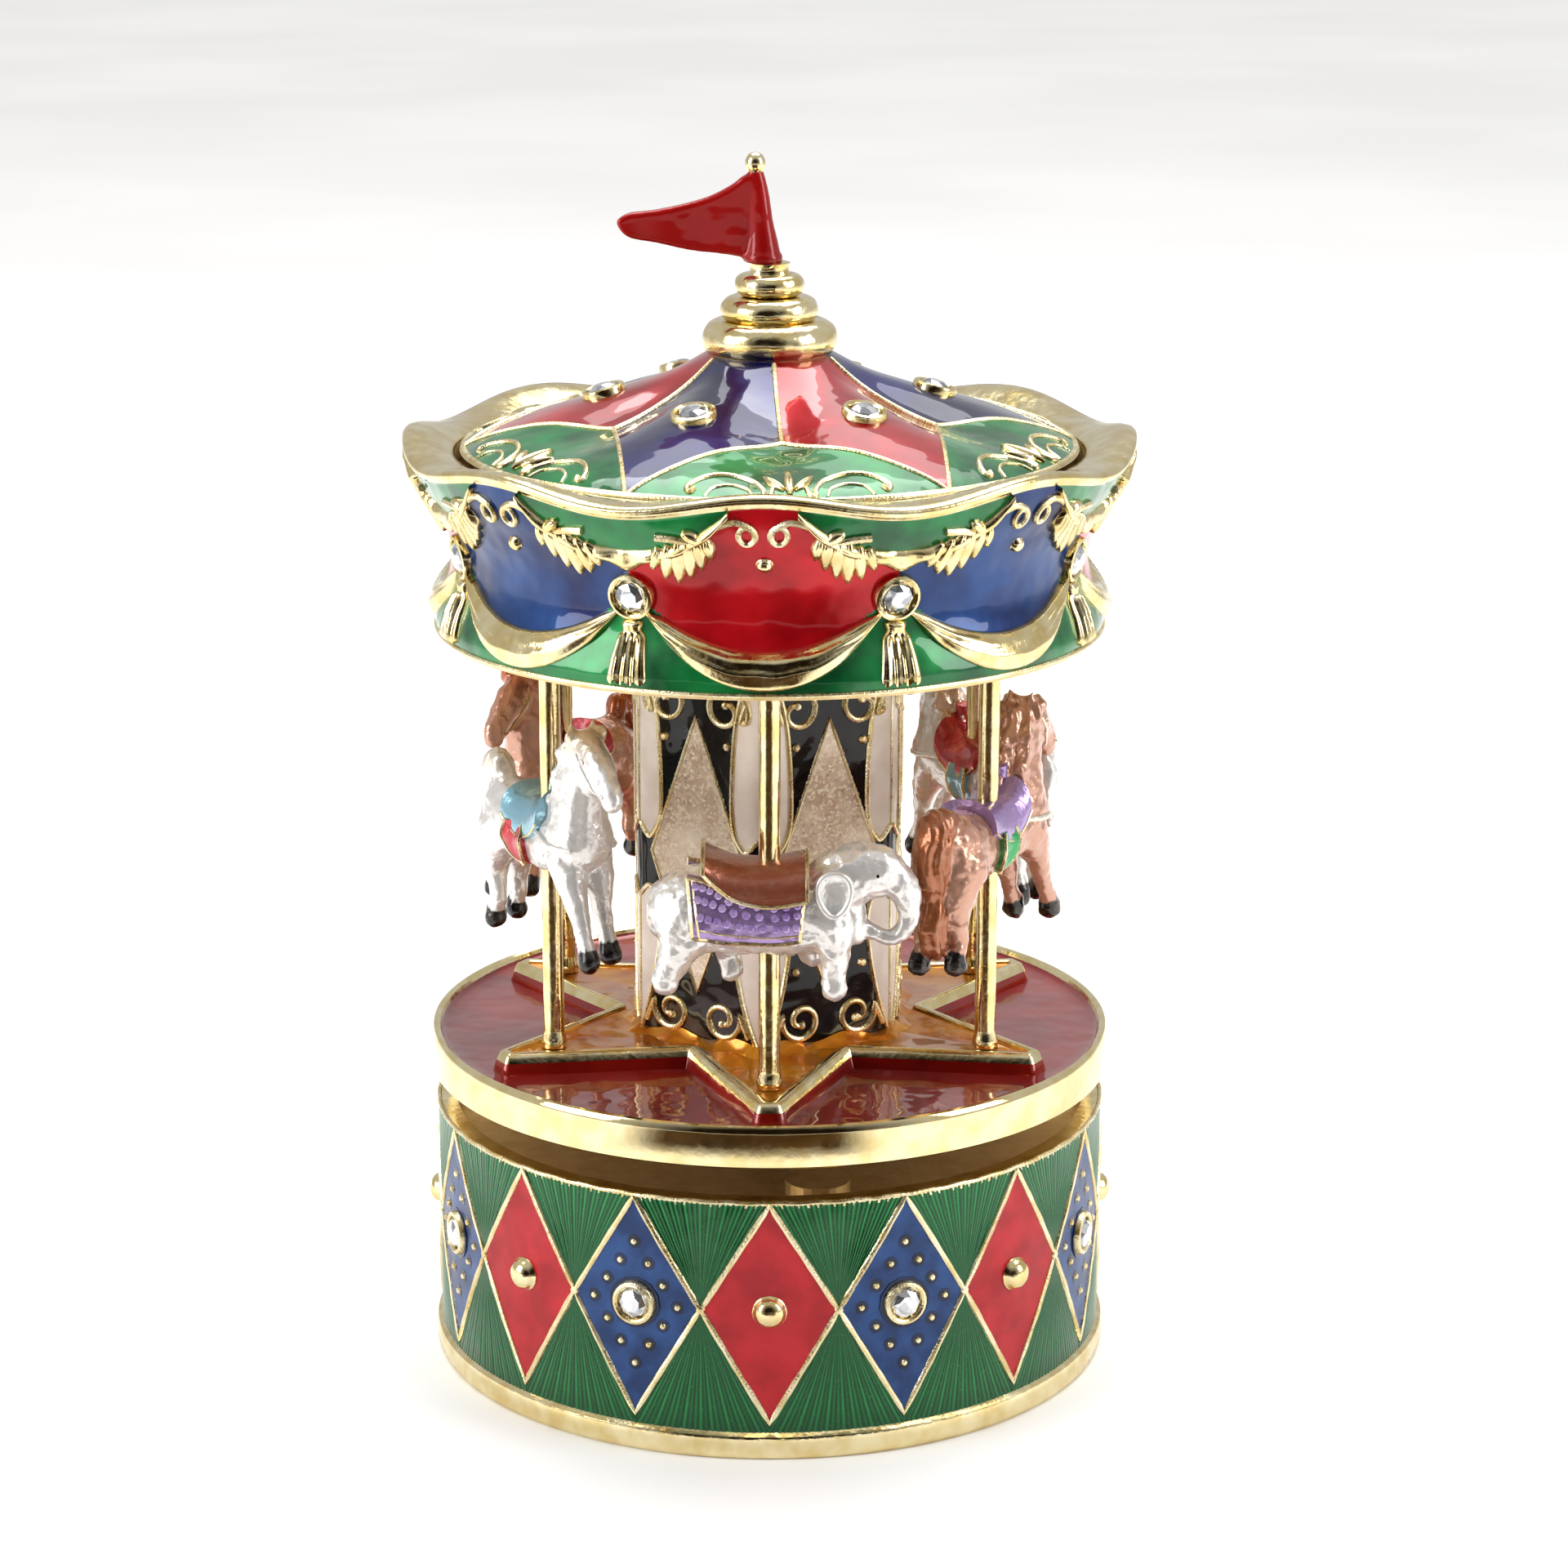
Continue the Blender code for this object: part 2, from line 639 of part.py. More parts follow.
def make_star():
    outline = []
    for a in ring_places(2 * RIDES):
        tip = round(a / 30.0) % 2 == 0
        offsets = (-2.0, 2.0) if tip else (0.0,)
        for offset in offsets:
            angle = math.radians(a + offset)
            radius = STAR_TIP_R if tip else STAR_NOTCH_R
            outline.append((radius * math.sin(angle), -radius * math.cos(angle)))
    holes = [circle(POLE_R + GAP, *spot, sides=8) for spot in pole_places()]
    holes.append(circle(TIE_ROD_R + GAP, sides=16))
    flat("platform_star", [outline] + holes, FLOOR_Z + GAP, STAR_Z, "gold")


def make_poles():
    for i, frame in enumerate(pole_frames()):
        profile = [
            (0.0, POLE_TOP_Z),
            (POLE_R, POLE_TOP_Z),
            (POLE_R, STAR_Z + 2.0),
            (POLE_R + 0.6, STAR_Z + 1.4),
            (POLE_R + 0.6, STAR_Z + GAP),
            (POLE_R, STAR_Z + GAP),
            (POLE_R, POLE_FOOT_Z),
            (0.0, POLE_FOOT_Z),
        ]
        turned("ride_pole_%d" % (i + 1), profile, "gold", frame, steps=8)


def make_column():
    outline = []
    for side in ring_places(RIDES, 30.0 + COLUMN_TURN):
        half = math.degrees(math.acos(COLUMN_APOTHEM / COLUMN_CORNER_R))
        for offset in (-half, 0.0, half):
            radius = COLUMN_APOTHEM if offset == 0 else COLUMN_CORNER_R
            angle = math.radians(side + offset)
            outline.append((radius * math.sin(angle), -radius * math.cos(angle)))
    bore = circle(COLUMN_BORE_R)
    flat("centre_column", [outline, bore], STAR_Z + GAP, CEILING_Z - GAP, "enamel_black")
    tie_profile = [(0.0, 108.6), (TIE_ROD_R, 108.6), (TIE_ROD_R, FLOOR_Z + GAP), (0.0, FLOOR_Z + GAP)]
    turned("tie_rod", tie_profile, "steel", steps=16)


# ---- animals ----

# Forms are (forward, sideways, up, half length, half width, half height, forward tilt in degrees);
# a sideways value other than 0 makes a pair.
HORSE = [
    (-0.5, 0.0, 57.4, 8.0, 3.2, 4.1, 8.0),
    (-6.4, 0.0, 57.0, 3.9, 3.4, 4.3, 0.0),
    (6.4, 0.0, 62.4, 2.8, 1.9, 5.6, 25.0),
    (9.6, 0.0, 66.6, 4.0, 1.7, 2.2, 32.0),
    (-9.9, 0.0, 57.2, 1.5, 1.3, 4.6, -12.0),
    (8.0, 1.7, 54.2, 1.7, 1.3, 4.2, -35.0),
    (10.6, 1.7, 49.8, 1.3, 1.1, 3.4, 0.0),
    (-7.0, 1.8, 52.4, 1.9, 1.4, 4.0, 15.0),
    (-8.6, 1.8, 48.6, 1.3, 1.1, 3.2, 20.0),
]
ELEPHANT = [
    (-2.4, 0.0, 54.0, 8.6, 4.0, 4.6, 0.0),
    (-1.8, 0.0, 58.0, 5.2, 2.4, 1.6, 0.0),
    (8.0, 0.0, 56.4, 4.4, 2.7, 3.5, 20.0),
    (4.8, 2.3, 55.0, 2.2, 1.0, 2.9, 0.0),
    (11.9, 0.0, 53.8, 1.4, 1.3, 3.4, -15.0),
    (10.6, 0.0, 50.7, 2.5, 1.2, 1.3, 0.0),
    (4.2, 1.9, 48.9, 1.7, 1.4, 3.8, -12.0),
    (-7.4, 1.9, 49.6, 1.9, 1.5, 4.2, 25.0),
]
RIDE_ORDER = [
    ("elephant", ELEPHANT, "white_pearl"),
    ("horse_brown_right", HORSE, "brown_pearl"),
    ("horse_white_rear", HORSE, "tan_pearl"),
    ("horse_tan_back", HORSE, "tan_pearl"),
    ("horse_brown_left", HORSE, "brown_pearl"),
    ("horse_white_left", HORSE, "white_pearl"),
]


def make_ride(name, forms, colour, frame):
    pieces = []
    for u, v, z, half_u, half_v, half_z, tilt in forms:
        for side in (v, -v) if v else (0.0,):
            shape = bmesh.new()
            bmesh.ops.create_uvsphere(shape, u_segments=6, v_segments=4, radius=1.0)
            size = Matrix.Diagonal((half_u * MM, half_v * MM, half_z * MM, 1.0))
            bmesh.ops.transform(shape, matrix=at(u, side, z) @ turn(tilt, "Y") @ size, verts=shape.verts)
            first = not pieces
            pieces.append(add_mesh(name if first else "form", shape, colour if first else None, frame))
    body = pieces[0]
    join(body, pieces[1:])
    cut(body, rod("ride_bore", POLE_R + GAP, 40.0, 75.0, frame=frame, sides=12))


def make_rides():
    for frame, (name, forms, colour) in zip(pole_frames(), RIDE_ORDER):
        make_ride(name, forms, colour, frame)


# ---- canopy ----


def make_ceiling():
    low, high = CEILING_Z, CEILING_Z + CEILING_T
    holes = [circle(POLE_R + GAP, *spot, sides=8) for spot in pole_places()]
    holes.append(circle(TIE_ROD_R + GAP, sides=16))
    flat("canopy_ceiling", [circle(CEILING_R, sides=36)] + holes, low, high, "satin_gold")


def make_valance():
    """A ring lofted round the axis: one section whose top rises and falls with the lobes of the rim."""
    ledge = [(28.6, 76.3), (28.6, 77.1), (29.9, 77.1)]
    inner = ledge + [(29.9, 92.3), (31.5, 92.3), (31.6, 94.0), (33.4, 95.0)]
    section = VALANCE_PROFILE + [(33.6, 76.3)] + inner
    shape = bmesh.new()
    steps = 48
    wave_from, wave_to = 90.0, 94.9
    loops = []
    for i in range(steps):
        angle = 2 * math.pi * i / steps
        loop = []
        for r, z in section:
            share = min(1.0, max(0.0, (z - wave_from) / (wave_to - wave_from)))
            lift = RIM_WAVE * share * math.cos(VALANCE_LOBES * angle) if r > 31.55 else 0.0
            point = (r * math.sin(angle), -r * math.cos(angle), z + lift)
            loop.append(shape.verts.new(Vector(point) * MM))
        loops.append(loop)
    for i in range(steps):
        here, after = loops[i], loops[(i + 1) % steps]
        for j in range(len(section)):
            k = (j + 1) % len(section)
            shape.faces.new((here[j], here[k], after[k], after[j]))
    add_mesh("canopy_valance", shape, "enamel_green")


def make_roof():
    top = [(TIE_ROD_R + GAP, ROOF_PROFILE[0][1])] + ROOF_PROFILE
    underside = [(r, z - ROOF_T) for r, z in reversed(ROOF_PROFILE[:-1:2])]
    edge = [(30.8, 92.6), (29.4, 92.6)]
    hub = [(TIE_ROD_R + GAP, ROOF_PROFILE[0][1] - ROOF_T)]
    turned("canopy_roof", top + edge + underside + hub, "enamel_navy", steps=30)


def make_finial():
    profile = [(0.0, 112.2), (2.1, 112.2), (2.1, 111.4)]
    for ring_r, z, half in reversed(FINIAL_RINGS):
        for degrees in (55, 0, -55):
            bulge = math.radians(degrees)
            profile.append((ring_r - half + half * math.cos(bulge), z + half * math.sin(bulge)))
    profile += [(5.4, 103.7), (0.0, 103.7)]
    finial = turned("finial", profile, "gold", steps=24)
    cut(finial, rod("tie_bore", TIE_ROD_R + GAP, 102.0, 109.0, sides=16))


def make_flag():
    """A pennant cast in one with its leaning staff; the ball on top is its own bead."""
    outline = [
        (1.35, 112.5),
        (0.5, 116.0),
        (-0.4, 120.8),
        (-2.45, 121.2),
        (-5.9, 119.1),
        (-11.7, 117.8),
        (-14.0, 117.6),
        (-15.1, 116.8),
        (-14.9, 115.9),
        (-13.8, 115.0),
        (-7.9, 113.6),
        (-2.9, 113.1),
        (-2.6, 112.5),
    ]
    pennant = flat("pennant_flag", [outline[::-1]], -0.9, 0.9, "enamel_red", turn(90, "X"))
    soft = pennant.modifiers.new("soft_edges", "BEVEL")
    soft.width = 0.3 * MM
    soft.segments = 1
    soft.limit_method = "ANGLE"
    turned(
        "flag_bead",
        [(0.0, 123.4), (0.6, 123.1), (0.75, 122.4), (0.6, 121.8), (0.5, 121.4), (0.0, 121.4)],
        "gold",
        at(-1.42, 0, 0),
        steps=12,
    )


def main():
    make_drum()
    make_covers()
    make_bedplate()
    make_comb()
    make_cylinder()
    make_barrel()
    make_winding()
    make_governor()
    make_spindle()
    make_platform()
    make_star()
    make_poles()
    make_column()
    make_rides()
    make_ceiling()
    make_valance()
    make_roof()
    make_finial()
    make_flag()
    for thing in PARTS.objects:
        smooth(thing)


main()
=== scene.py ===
import math

import bmesh
import bpy
import numpy as np
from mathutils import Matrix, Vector, noise
from mathutils.bvhtree import BVHTree


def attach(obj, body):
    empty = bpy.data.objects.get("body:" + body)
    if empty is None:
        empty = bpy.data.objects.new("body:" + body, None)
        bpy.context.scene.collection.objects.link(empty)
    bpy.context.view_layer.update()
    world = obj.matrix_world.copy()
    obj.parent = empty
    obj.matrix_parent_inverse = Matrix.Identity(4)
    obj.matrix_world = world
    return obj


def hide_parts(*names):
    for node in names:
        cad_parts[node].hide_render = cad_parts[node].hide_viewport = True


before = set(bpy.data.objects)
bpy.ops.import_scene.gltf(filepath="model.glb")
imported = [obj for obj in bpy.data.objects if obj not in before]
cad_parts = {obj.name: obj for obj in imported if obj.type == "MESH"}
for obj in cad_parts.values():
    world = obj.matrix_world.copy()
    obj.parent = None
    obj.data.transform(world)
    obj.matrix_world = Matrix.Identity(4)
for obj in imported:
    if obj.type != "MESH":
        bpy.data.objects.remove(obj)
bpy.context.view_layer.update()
print("frame loaded")

# everything below is worked out in millimetres and turned to metres when a mesh is made
metres = 0.001


# numbers and meshes

def linearColour(hexText):
    parts = [int(hexText[i:i + 2], 16) / 255 for i in (1, 3, 5)]
    return tuple(p / 12.92 if p <= 0.04045 else ((p + 0.055) / 1.055) ** 2.4 for p in parts) + (1.0,)


def polar(angle, radius, z):
    # angle in degrees from the front, growing towards the viewer's right
    turn = np.radians(np.asarray(angle, float))
    radius, z = np.asarray(radius, float), np.asarray(z, float)
    return np.stack(np.broadcast_arrays(radius * np.sin(turn), -radius * np.cos(turn), z), -1)


def smoothStep(low, high, value):
    share = np.clip((np.asarray(value, float) - low) / (high - low), 0, 1)
    return share * share * (3 - 2 * share)


def splinePoints(points, steps):
    # a smooth curve through the points, with steps pieces between each two
    points = np.asarray(points, float)
    padded = np.vstack([2 * points[0] - points[1], points, 2 * points[-1] - points[-2]])
    out = []
    for i in range(1, len(padded) - 2):
        for t in np.arange(steps) / steps:
            p0, p1, p2, p3 = padded[i - 1:i + 3]
            out.append(0.5 * (2 * p1 + (p2 - p0) * t + (2 * p0 - 5 * p1 + 4 * p2 - p3) * t * t
                              + (3 * p1 - p0 - 3 * p2 + p3) * t ** 3))
    return np.array(out + [points[-1]])


def newBuild():
    return {"points": [], "faces": [], "slots": [], "shade": [], "count": 0}


def addFaces(build, points, faces, slot=0, shade=None):
    points = np.asarray(points, float).reshape(-1, 3)
    build["points"].append(points)
    start = build["count"]
    build["faces"] += [[start + i for i in face] for face in faces]
    build["slots"] += list(slot) if hasattr(slot, "__len__") else [slot] * len(faces)
    build["shade"].append(np.zeros(len(points)) if shade is None else np.asarray(shade, float).ravel())
    build["count"] += len(points)


def gridFaces(rows, columns, wrapRows=False, wrapColumns=False):
    r = np.arange(rows if wrapRows else rows - 1)[:, None]
    c = np.arange(columns if wrapColumns else columns - 1)[None, :]
    r2, c2 = (r + 1) % rows, (c + 1) % columns
    quads = np.stack(np.broadcast_arrays(r * columns + c, r * columns + c2, r2 * columns + c2, r2 * columns + c), -1)
    return quads.reshape(-1, 4).tolist()


def addPatch(build, top, sunk, slot=0, shade=None):
    # a closed slab: the shown grid, walls down to the sunk edge, and one back face
    rows, columns = top.shape[:2]
    index = np.arange(rows * columns).reshape(rows, columns)
    loop = np.concatenate([index[0, :-1], index[:-1, -1], index[-1, :0:-1], index[:0:-1, 0]])
    keep, place = [], {}
    for i in loop:
        key = tuple(np.round(top.reshape(-1, 3)[i], 5))
        if key not in place:
            place[key] = i
            keep.append(i)
    edge = len(keep)
    points = np.vstack([top.reshape(-1, 3), sunk.reshape(-1, 3)[keep]])
    faces = gridFaces(rows, columns)
    slots = list(slot) if hasattr(slot, "__len__") else [slot] * len(faces)
    last = slots[0]
    start = rows * columns
    faces += [[keep[i], start + i, start + (i + 1) % edge, keep[(i + 1) % edge]] for i in range(edge)]
    faces.append([start + i for i in range(edge)])
    slots += [last] * (edge + 1)
    shades = None if shade is None else np.concatenate([np.asarray(shade).ravel(), np.zeros(edge)])
    addFaces(build, points, faces, slots, shades)


def makePiece(name, build, materials, sharp=40, merge=0.0):
    mesh = bpy.data.meshes.new(name)
    points = np.vstack(build["points"]) * metres
    mesh.from_pydata(points.tolist(), [], build["faces"])
    for material in materials:
        mesh.materials.append(material)
    mesh.polygons.foreach_set("material_index", np.array(build["slots"], np.int32))
    shades = np.concatenate(build["shade"]).astype(np.float32)
    mesh.attributes.new("shade", "FLOAT", "POINT").data.foreach_set("value", shades)
    for key, values in build.get("colours", {}).items():
        colours = mesh.attributes.new(key, "FLOAT_COLOR", "POINT")
        colours.data.foreach_set("color", np.asarray(values, np.float32).ravel())
    shape = bmesh.new()
    shape.from_mesh(mesh)
    bmesh.ops.remove_doubles(shape, verts=shape.verts, dist=merge or 1e-7)
    bmesh.ops.recalc_face_normals(shape, faces=shape.faces)
    shape.to_mesh(mesh)
    shape.free()
    mesh.polygons.foreach_set("use_smooth", np.ones(len(mesh.polygons), bool))
    mesh.set_sharp_from_angle(angle=math.radians(sharp))
    piece = bpy.data.objects.new(name, mesh)
    bpy.context.scene.collection.objects.link(piece)
    return piece


def fitPiece(piece, body, slot, *nodes):
    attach(piece, body)
    if nodes:
        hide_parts(*nodes)
    return piece


def revolvedBuild(profile, steps, slots=None, start=0.0):
    # a closed ring of profile points carried once round the axis; a profile that meets the axis is closed there
    profile = np.asarray(profile, float)
    angles = start + np.arange(steps) * 360 / steps
    rings = np.stack([polar(angles, r, z) for r, z in profile])
    build = newBuild()
    onAxis = profile[0][0] == 0
    faces = gridFaces(len(profile), steps, not onAxis, True)
    perRing = None
    if slots is not None:
        perRing = [slots[i // steps] for i in range(len(faces))]
    addFaces(build, rings, faces, 0 if perRing is None else perRing)
    return build


# node trees

def addNode(tree, kind, inputs=None, **settings):
    node = tree.nodes.new(kind)
    for key, value in settings.items():
        setattr(node, key, value)
    for key, value in (inputs or {}).items():
        if isinstance(value, bpy.types.NodeSocket):
            tree.links.new(value, node.inputs[key])
        else:
            node.inputs[key].default_value = value
    return node


def startMaterial(name):
    material = bpy.data.materials.new(name)
    material.use_nodes = True
    tree = material.node_tree
    tree.nodes.clear()
    where = addNode(tree, "ShaderNodeTexCoord").outputs["Object"]
    return material, tree, where


def finishMaterial(tree, shader):
    output = addNode(tree, "ShaderNodeOutputMaterial")
    tree.links.new(shader.outputs[0], output.inputs["Surface"])


def noiseField(tree, where, size, detail=2.0, low=0.35, high=0.65):
    # a 0 to 1 cloud whose patches are size millimetres across
    cloud = addNode(tree, "ShaderNodeTexNoise", {"Vector": where, "Scale": 1000 / size, "Detail": detail})
    return addNode(tree, "ShaderNodeMapRange", {"Value": cloud.outputs[0], "From Min": low,
                                                "From Max": high}).outputs[0]


def mixColours(tree, share, first, second):
    mix = addNode(tree, "ShaderNodeMix", {0: share, 6: first, 7: second}, data_type="RGBA")
    return mix.outputs[2]


def shadeOf(tree):
    return addNode(tree, "ShaderNodeAttribute", attribute_name="shade").outputs["Fac"]


def metalFinish(name, bright, deep, roughness, spread, grain, bump):
    # plated or machined metal: colour drifts over a few millimetres, gloss breaks up in patches,
    # and a fine skin bends it
    material, tree, where = startMaterial(name)
    drift = noiseField(tree, where, 2.6)
    patches = noiseField(tree, where, 0.9, 3.0)
    skin = noiseField(tree, where, grain, 3.0, 0.2, 0.8)
    rough = addNode(tree, "ShaderNodeMapRange", {"Value": patches, "To Min": roughness, "To Max": roughness + spread})
    bend = addNode(tree, "ShaderNodeBump", {"Height": skin, "Strength": bump, "Distance": 0.0001})
    shader = addNode(tree, "ShaderNodeBsdfPrincipled", {
        "Base Color": mixColours(tree, drift, linearColour(deep), linearColour(bright)),
        "Metallic": 1.0, "Roughness": rough.outputs[0], "Normal": bend.outputs[0]})
    finishMaterial(tree, shader)
    return material


def enamelFinish(name, bright, deep, metallic=0.35, roughness=0.32, cloud=3.0, shaded=False, wave=0.25, coat=0.55):
    # vitreous enamel: coloured glass over metal, so a tinted base under a clear glassy coat that is never quite flat
    material, tree, where = startMaterial(name)
    share = shadeOf(tree) if shaded else noiseField(tree, where, cloud, 3.0)
    tone = mixColours(tree, share, linearColour(deep), linearColour(bright))
    specks = noiseField(tree, where, 0.22, 1.0, 0.62, 0.75)
    tone = mixColours(tree, addNode(tree, "ShaderNodeMath", {0: specks, 1: 0.35}, operation="MULTIPLY").outputs[0],
                      tone, linearColour(bright))
    ripple = noiseField(tree, where, 3.4, 1.0, 0.2, 0.8)
    bend = addNode(tree, "ShaderNodeBump", {"Height": ripple, "Strength": wave, "Distance": 0.0006})
    shader = addNode(tree, "ShaderNodeBsdfPrincipled", {
        "Base Color": tone, "Metallic": metallic, "Roughness": roughness, "Specular IOR Level": 0.1,
        "Coat Weight": coat, "Coat Roughness": 0.03, "Coat IOR": 1.5, "Normal": bend.outputs[0],
        "Coat Normal": bend.outputs[0]})
    finishMaterial(tree, shader)
    return material


def glitterFinish():
    # enamel with metal flake in it: flakes of 0.15 mm, drawn a little coarse so that they show, the brightest flakes
    # given a painted glint
    material, tree, where = startMaterial("champagne_glitter_enamel")
    flakes = addNode(tree, "ShaderNodeTexVoronoi", {"Vector": where, "Scale": 1000 / 0.26})
    glint = addNode(tree, "ShaderNodeSeparateColor", {0: flakes.outputs["Color"]}).outputs[0]
    cloud = noiseField(tree, where, 2.2, 3.0)
    tone = mixColours(tree, cloud, linearColour("#C2A88F"), linearColour("#DDCBB2"))
    # painted glint: the brightest flake cells are coloured pale as if catching the light
    spark = addNode(tree, "ShaderNodeMapRange", {"Value": glint, "From Min": 0.55, "From Max": 0.95}).outputs[0]
    tone = mixColours(tree, spark, tone, linearColour("#F2E4CC"))
    bend = addNode(tree, "ShaderNodeBump", {"Height": glint, "Strength": 0.25, "Distance": 0.00006})
    rough = addNode(tree, "ShaderNodeMapRange", {"Value": glint, "To Min": 0.25, "To Max": 0.6})
    shader = addNode(tree, "ShaderNodeBsdfPrincipled", {
        "Base Color": tone, "Metallic": 0.3, "Roughness": rough.outputs[0], "Normal": bend.outputs[0],
        "Coat Weight": 0.6, "Coat Roughness": 0.08})
    finishMaterial(tree, shader)
    return material


def pearlFinish(name):
    # pearlescent lacquer over a casting: the paint attribute gives the colour, a metallic share the silky lustre
    material, tree, where = startMaterial(name)
    paint = addNode(tree, "ShaderNodeAttribute", attribute_name="paint").outputs["Color"]
    worn = addNode(tree, "ShaderNodeMath", {0: noiseField(tree, where, 1.3, 4.0, 0.5, 0.8), 1: 0.22},
                   operation="MULTIPLY")
    tone = mixColours(tree, worn.outputs[0], paint, linearColour("#B9A58F"))
    skin = noiseField(tree, where, 0.8, 3.0, 0.2, 0.8)
    bend = addNode(tree, "ShaderNodeBump", {"Height": skin, "Strength": 0.45, "Distance": 0.00016})
    shader = addNode(tree, "ShaderNodeBsdfPrincipled", {
        "Base Color": tone, "Metallic": 0.55, "Roughness": 0.25, "Normal": bend.outputs[0],
        "Coat Weight": 0.5, "Coat Roughness": 0.06})
    finishMaterial(tree, shader)
    return material


def stoneFinish():
    # foil-backed cut glass: every facet throws back another part of the room, so facets differ in tone
    material, tree, where = startMaterial("cut_crystal")
    cells = addNode(tree, "ShaderNodeTexVoronoi", {"Vector": where, "Scale": 1000 / 0.75})
    glint = addNode(tree, "ShaderNodeSeparateColor", {0: cells.outputs["Color"]}).outputs[0]
    tone = mixColours(tree, glint, linearColour("#8C8F98"), linearColour("#FFFFFF"))
    shader = addNode(tree, "ShaderNodeBsdfPrincipled", {
        "Base Color": tone, "Metallic": 0.9, "Roughness": 0.05, "Coat Weight": 1.0, "Coat Roughness": 0.02})
    finishMaterial(tree, shader)
    return material


def floorFinish():
    # matt pale paper, with a faint drift in tone
    material, tree, where = startMaterial("studio_paper")
    tone = mixColours(tree, noiseField(tree, where, 180.0), linearColour("#F4F3F1"), linearColour("#FBFAF9"))
    shader = addNode(tree, "ShaderNodeBsdfPrincipled", {"Base Color": tone, "Roughness": 0.75})
    finishMaterial(tree, shader)
    return material


goldPlate = metalFinish("polished_gold_plate", "#EEE0B4", "#DCC588", 0.09, 0.12, 0.7, 0.22)  # bright, softly rippled
# near mirror, clear reflections
goldRim = metalFinish("mirror_gold_plate", "#ECDDAF", "#E0CB92", 0.05, 0.07, 2.2, 0.12)
goldWire = metalFinish("gold_cloison_wire", "#F0E4BE", "#D8C28A", 0.2, 0.18, 0.25, 0.4)  # thin lines that glint
# dull, as left in a recess
goldDark = metalFinish("unpolished_gold_plate", "#EFD9A2", "#D8B673", 0.42, 0.15, 1.2, 0.2)
goldSatin = metalFinish("satin_gold_plate", "#E8D0A0", "#DDC28C", 0.42, 0.12, 0.4, 0.25)  # soft broad sheen
steelGround = metalFinish("ground_steel", "#B9BCC2", "#96999F", 0.25, 0.15, 0.3, 0.2)  # cool grey, finely scratched
# warm yellow, fine tool marks
brassMachined = metalFinish("machined_brass", "#D9B565", "#B98F3E", 0.18, 0.12, 0.4, 0.2)
zincCast = metalFinish("die_cast_zinc", "#A9ACB0", "#8C9095", 0.38, 0.15, 0.5, 0.35)  # matt grey, a little grainy
# ridges take painted light and furrows painted shade from the shade attribute
enamelGreenRay = enamelFinish("green_enamel_over_rays", "#259149", "#05381A", 0.6, 0.3, shaded=True, wave=0.15)
# deep glassy green
enamelGreen = enamelFinish("green_glass_enamel", "#147A3C", "#0A4A25", 0.4, 0.3, cloud=6.0, coat=0.8)
# even signal red
enamelRedFlat = enamelFinish("red_opaque_enamel", "#B41D25", "#98121A", 0.2, 0.42, wave=0.15, coat=0.4)
# even mid blue
enamelBlueFlat = enamelFinish("blue_opaque_enamel", "#27497F", "#17305C", 0.25, 0.4, wave=0.15, coat=0.4)
# dark rims round dots and stones: thicker glass at the edge, and a painted contact shadow
enamelRimShadow = enamelFinish("thick_enamel_with_painted_shadow", "#16284E", "#0A142C", 0.1, 0.3)  # dark rim where glass piles up
# wet ruby floor
enamelFloor = enamelFinish("ruby_glass_enamel", "#96190F", "#700C08", 0.35, 0.25, cloud=9.0, wave=0.12, coat=1.0)
enamelAmber = enamelFinish("amber_glass_enamel", "#E09A2A", "#C06A12", 0.6, 0.25, cloud=4.0)  # glowing amber glass
enamelRed = enamelFinish("red_glass_enamel", "#C4121C", "#8E040C", 0.4, 0.28, cloud=7.0)  # deep glassy red
enamelBlue = enamelFinish("royal_blue_glass_enamel", "#193F78", "#0A184A", 0.4, 0.28, cloud=7.0)  # deep glassy blue
# almost black blue, mirror gloss
enamelNavy = enamelFinish("navy_glass_enamel", "#18185A", "#0D0D34", 0.25, 0.22, cloud=8.0, wave=0.1, coat=1.0)
# dark red, mirror gloss
enamelRoofRed = enamelFinish("roof_red_glass_enamel", "#A8121A", "#7C060C", 0.25, 0.22, cloud=8.0, wave=0.1, coat=1.0)
enamelBlack = enamelFinish("black_glass_enamel", "#15100E", "#080605", 0.1, 0.2, coat=0.45)  # ink black, glossy
enamelCream = enamelFinish("cream_enamel", "#F5EADF", "#E8DACD", 0.05, 0.4, coat=0.4)  # pale and milky
enamelFlag = enamelFinish("flag_red_enamel", "#9C0D0B", "#820806", 0.15, 0.3, cloud=8.0, wave=0.05)  # smooth dark red
glitter = glitterFinish()  # sparkling champagne
lilacLustre = enamelFinish("lilac_lustre", "#C4ACDA", "#9A7CBC", 0.5, 0.22)  # shiny lilac beads
pearl = pearlFinish("pearl_lacquer")  # silky paint over a casting
crystal = stoneFinish()  # bright and dark facets
print("materials made")


# geometry nodes trees

def startTree(name, extraInputs):
    tree = bpy.data.node_groups.new(name, "GeometryNodeTree")
    tree.interface.new_socket("Geometry", in_out="OUTPUT", socket_type="NodeSocketGeometry")
    names = {}
    for label, kind in [("Geometry", "NodeSocketGeometry")] + extraInputs:
        names[label] = tree.interface.new_socket(label, in_out="INPUT", socket_type=kind).identifier
    return tree, addNode(tree, "NodeGroupInput"), names


def endTree(tree, geometry, materialSocket):
    realized = addNode(tree, "GeometryNodeRealizeInstances", {"Geometry": geometry})
    painted = addNode(tree, "GeometryNodeSetMaterial", {"Geometry": realized.outputs[0], "Material": materialSocket})
    addNode(tree, "NodeGroupOutput", {0: painted.outputs[0]})


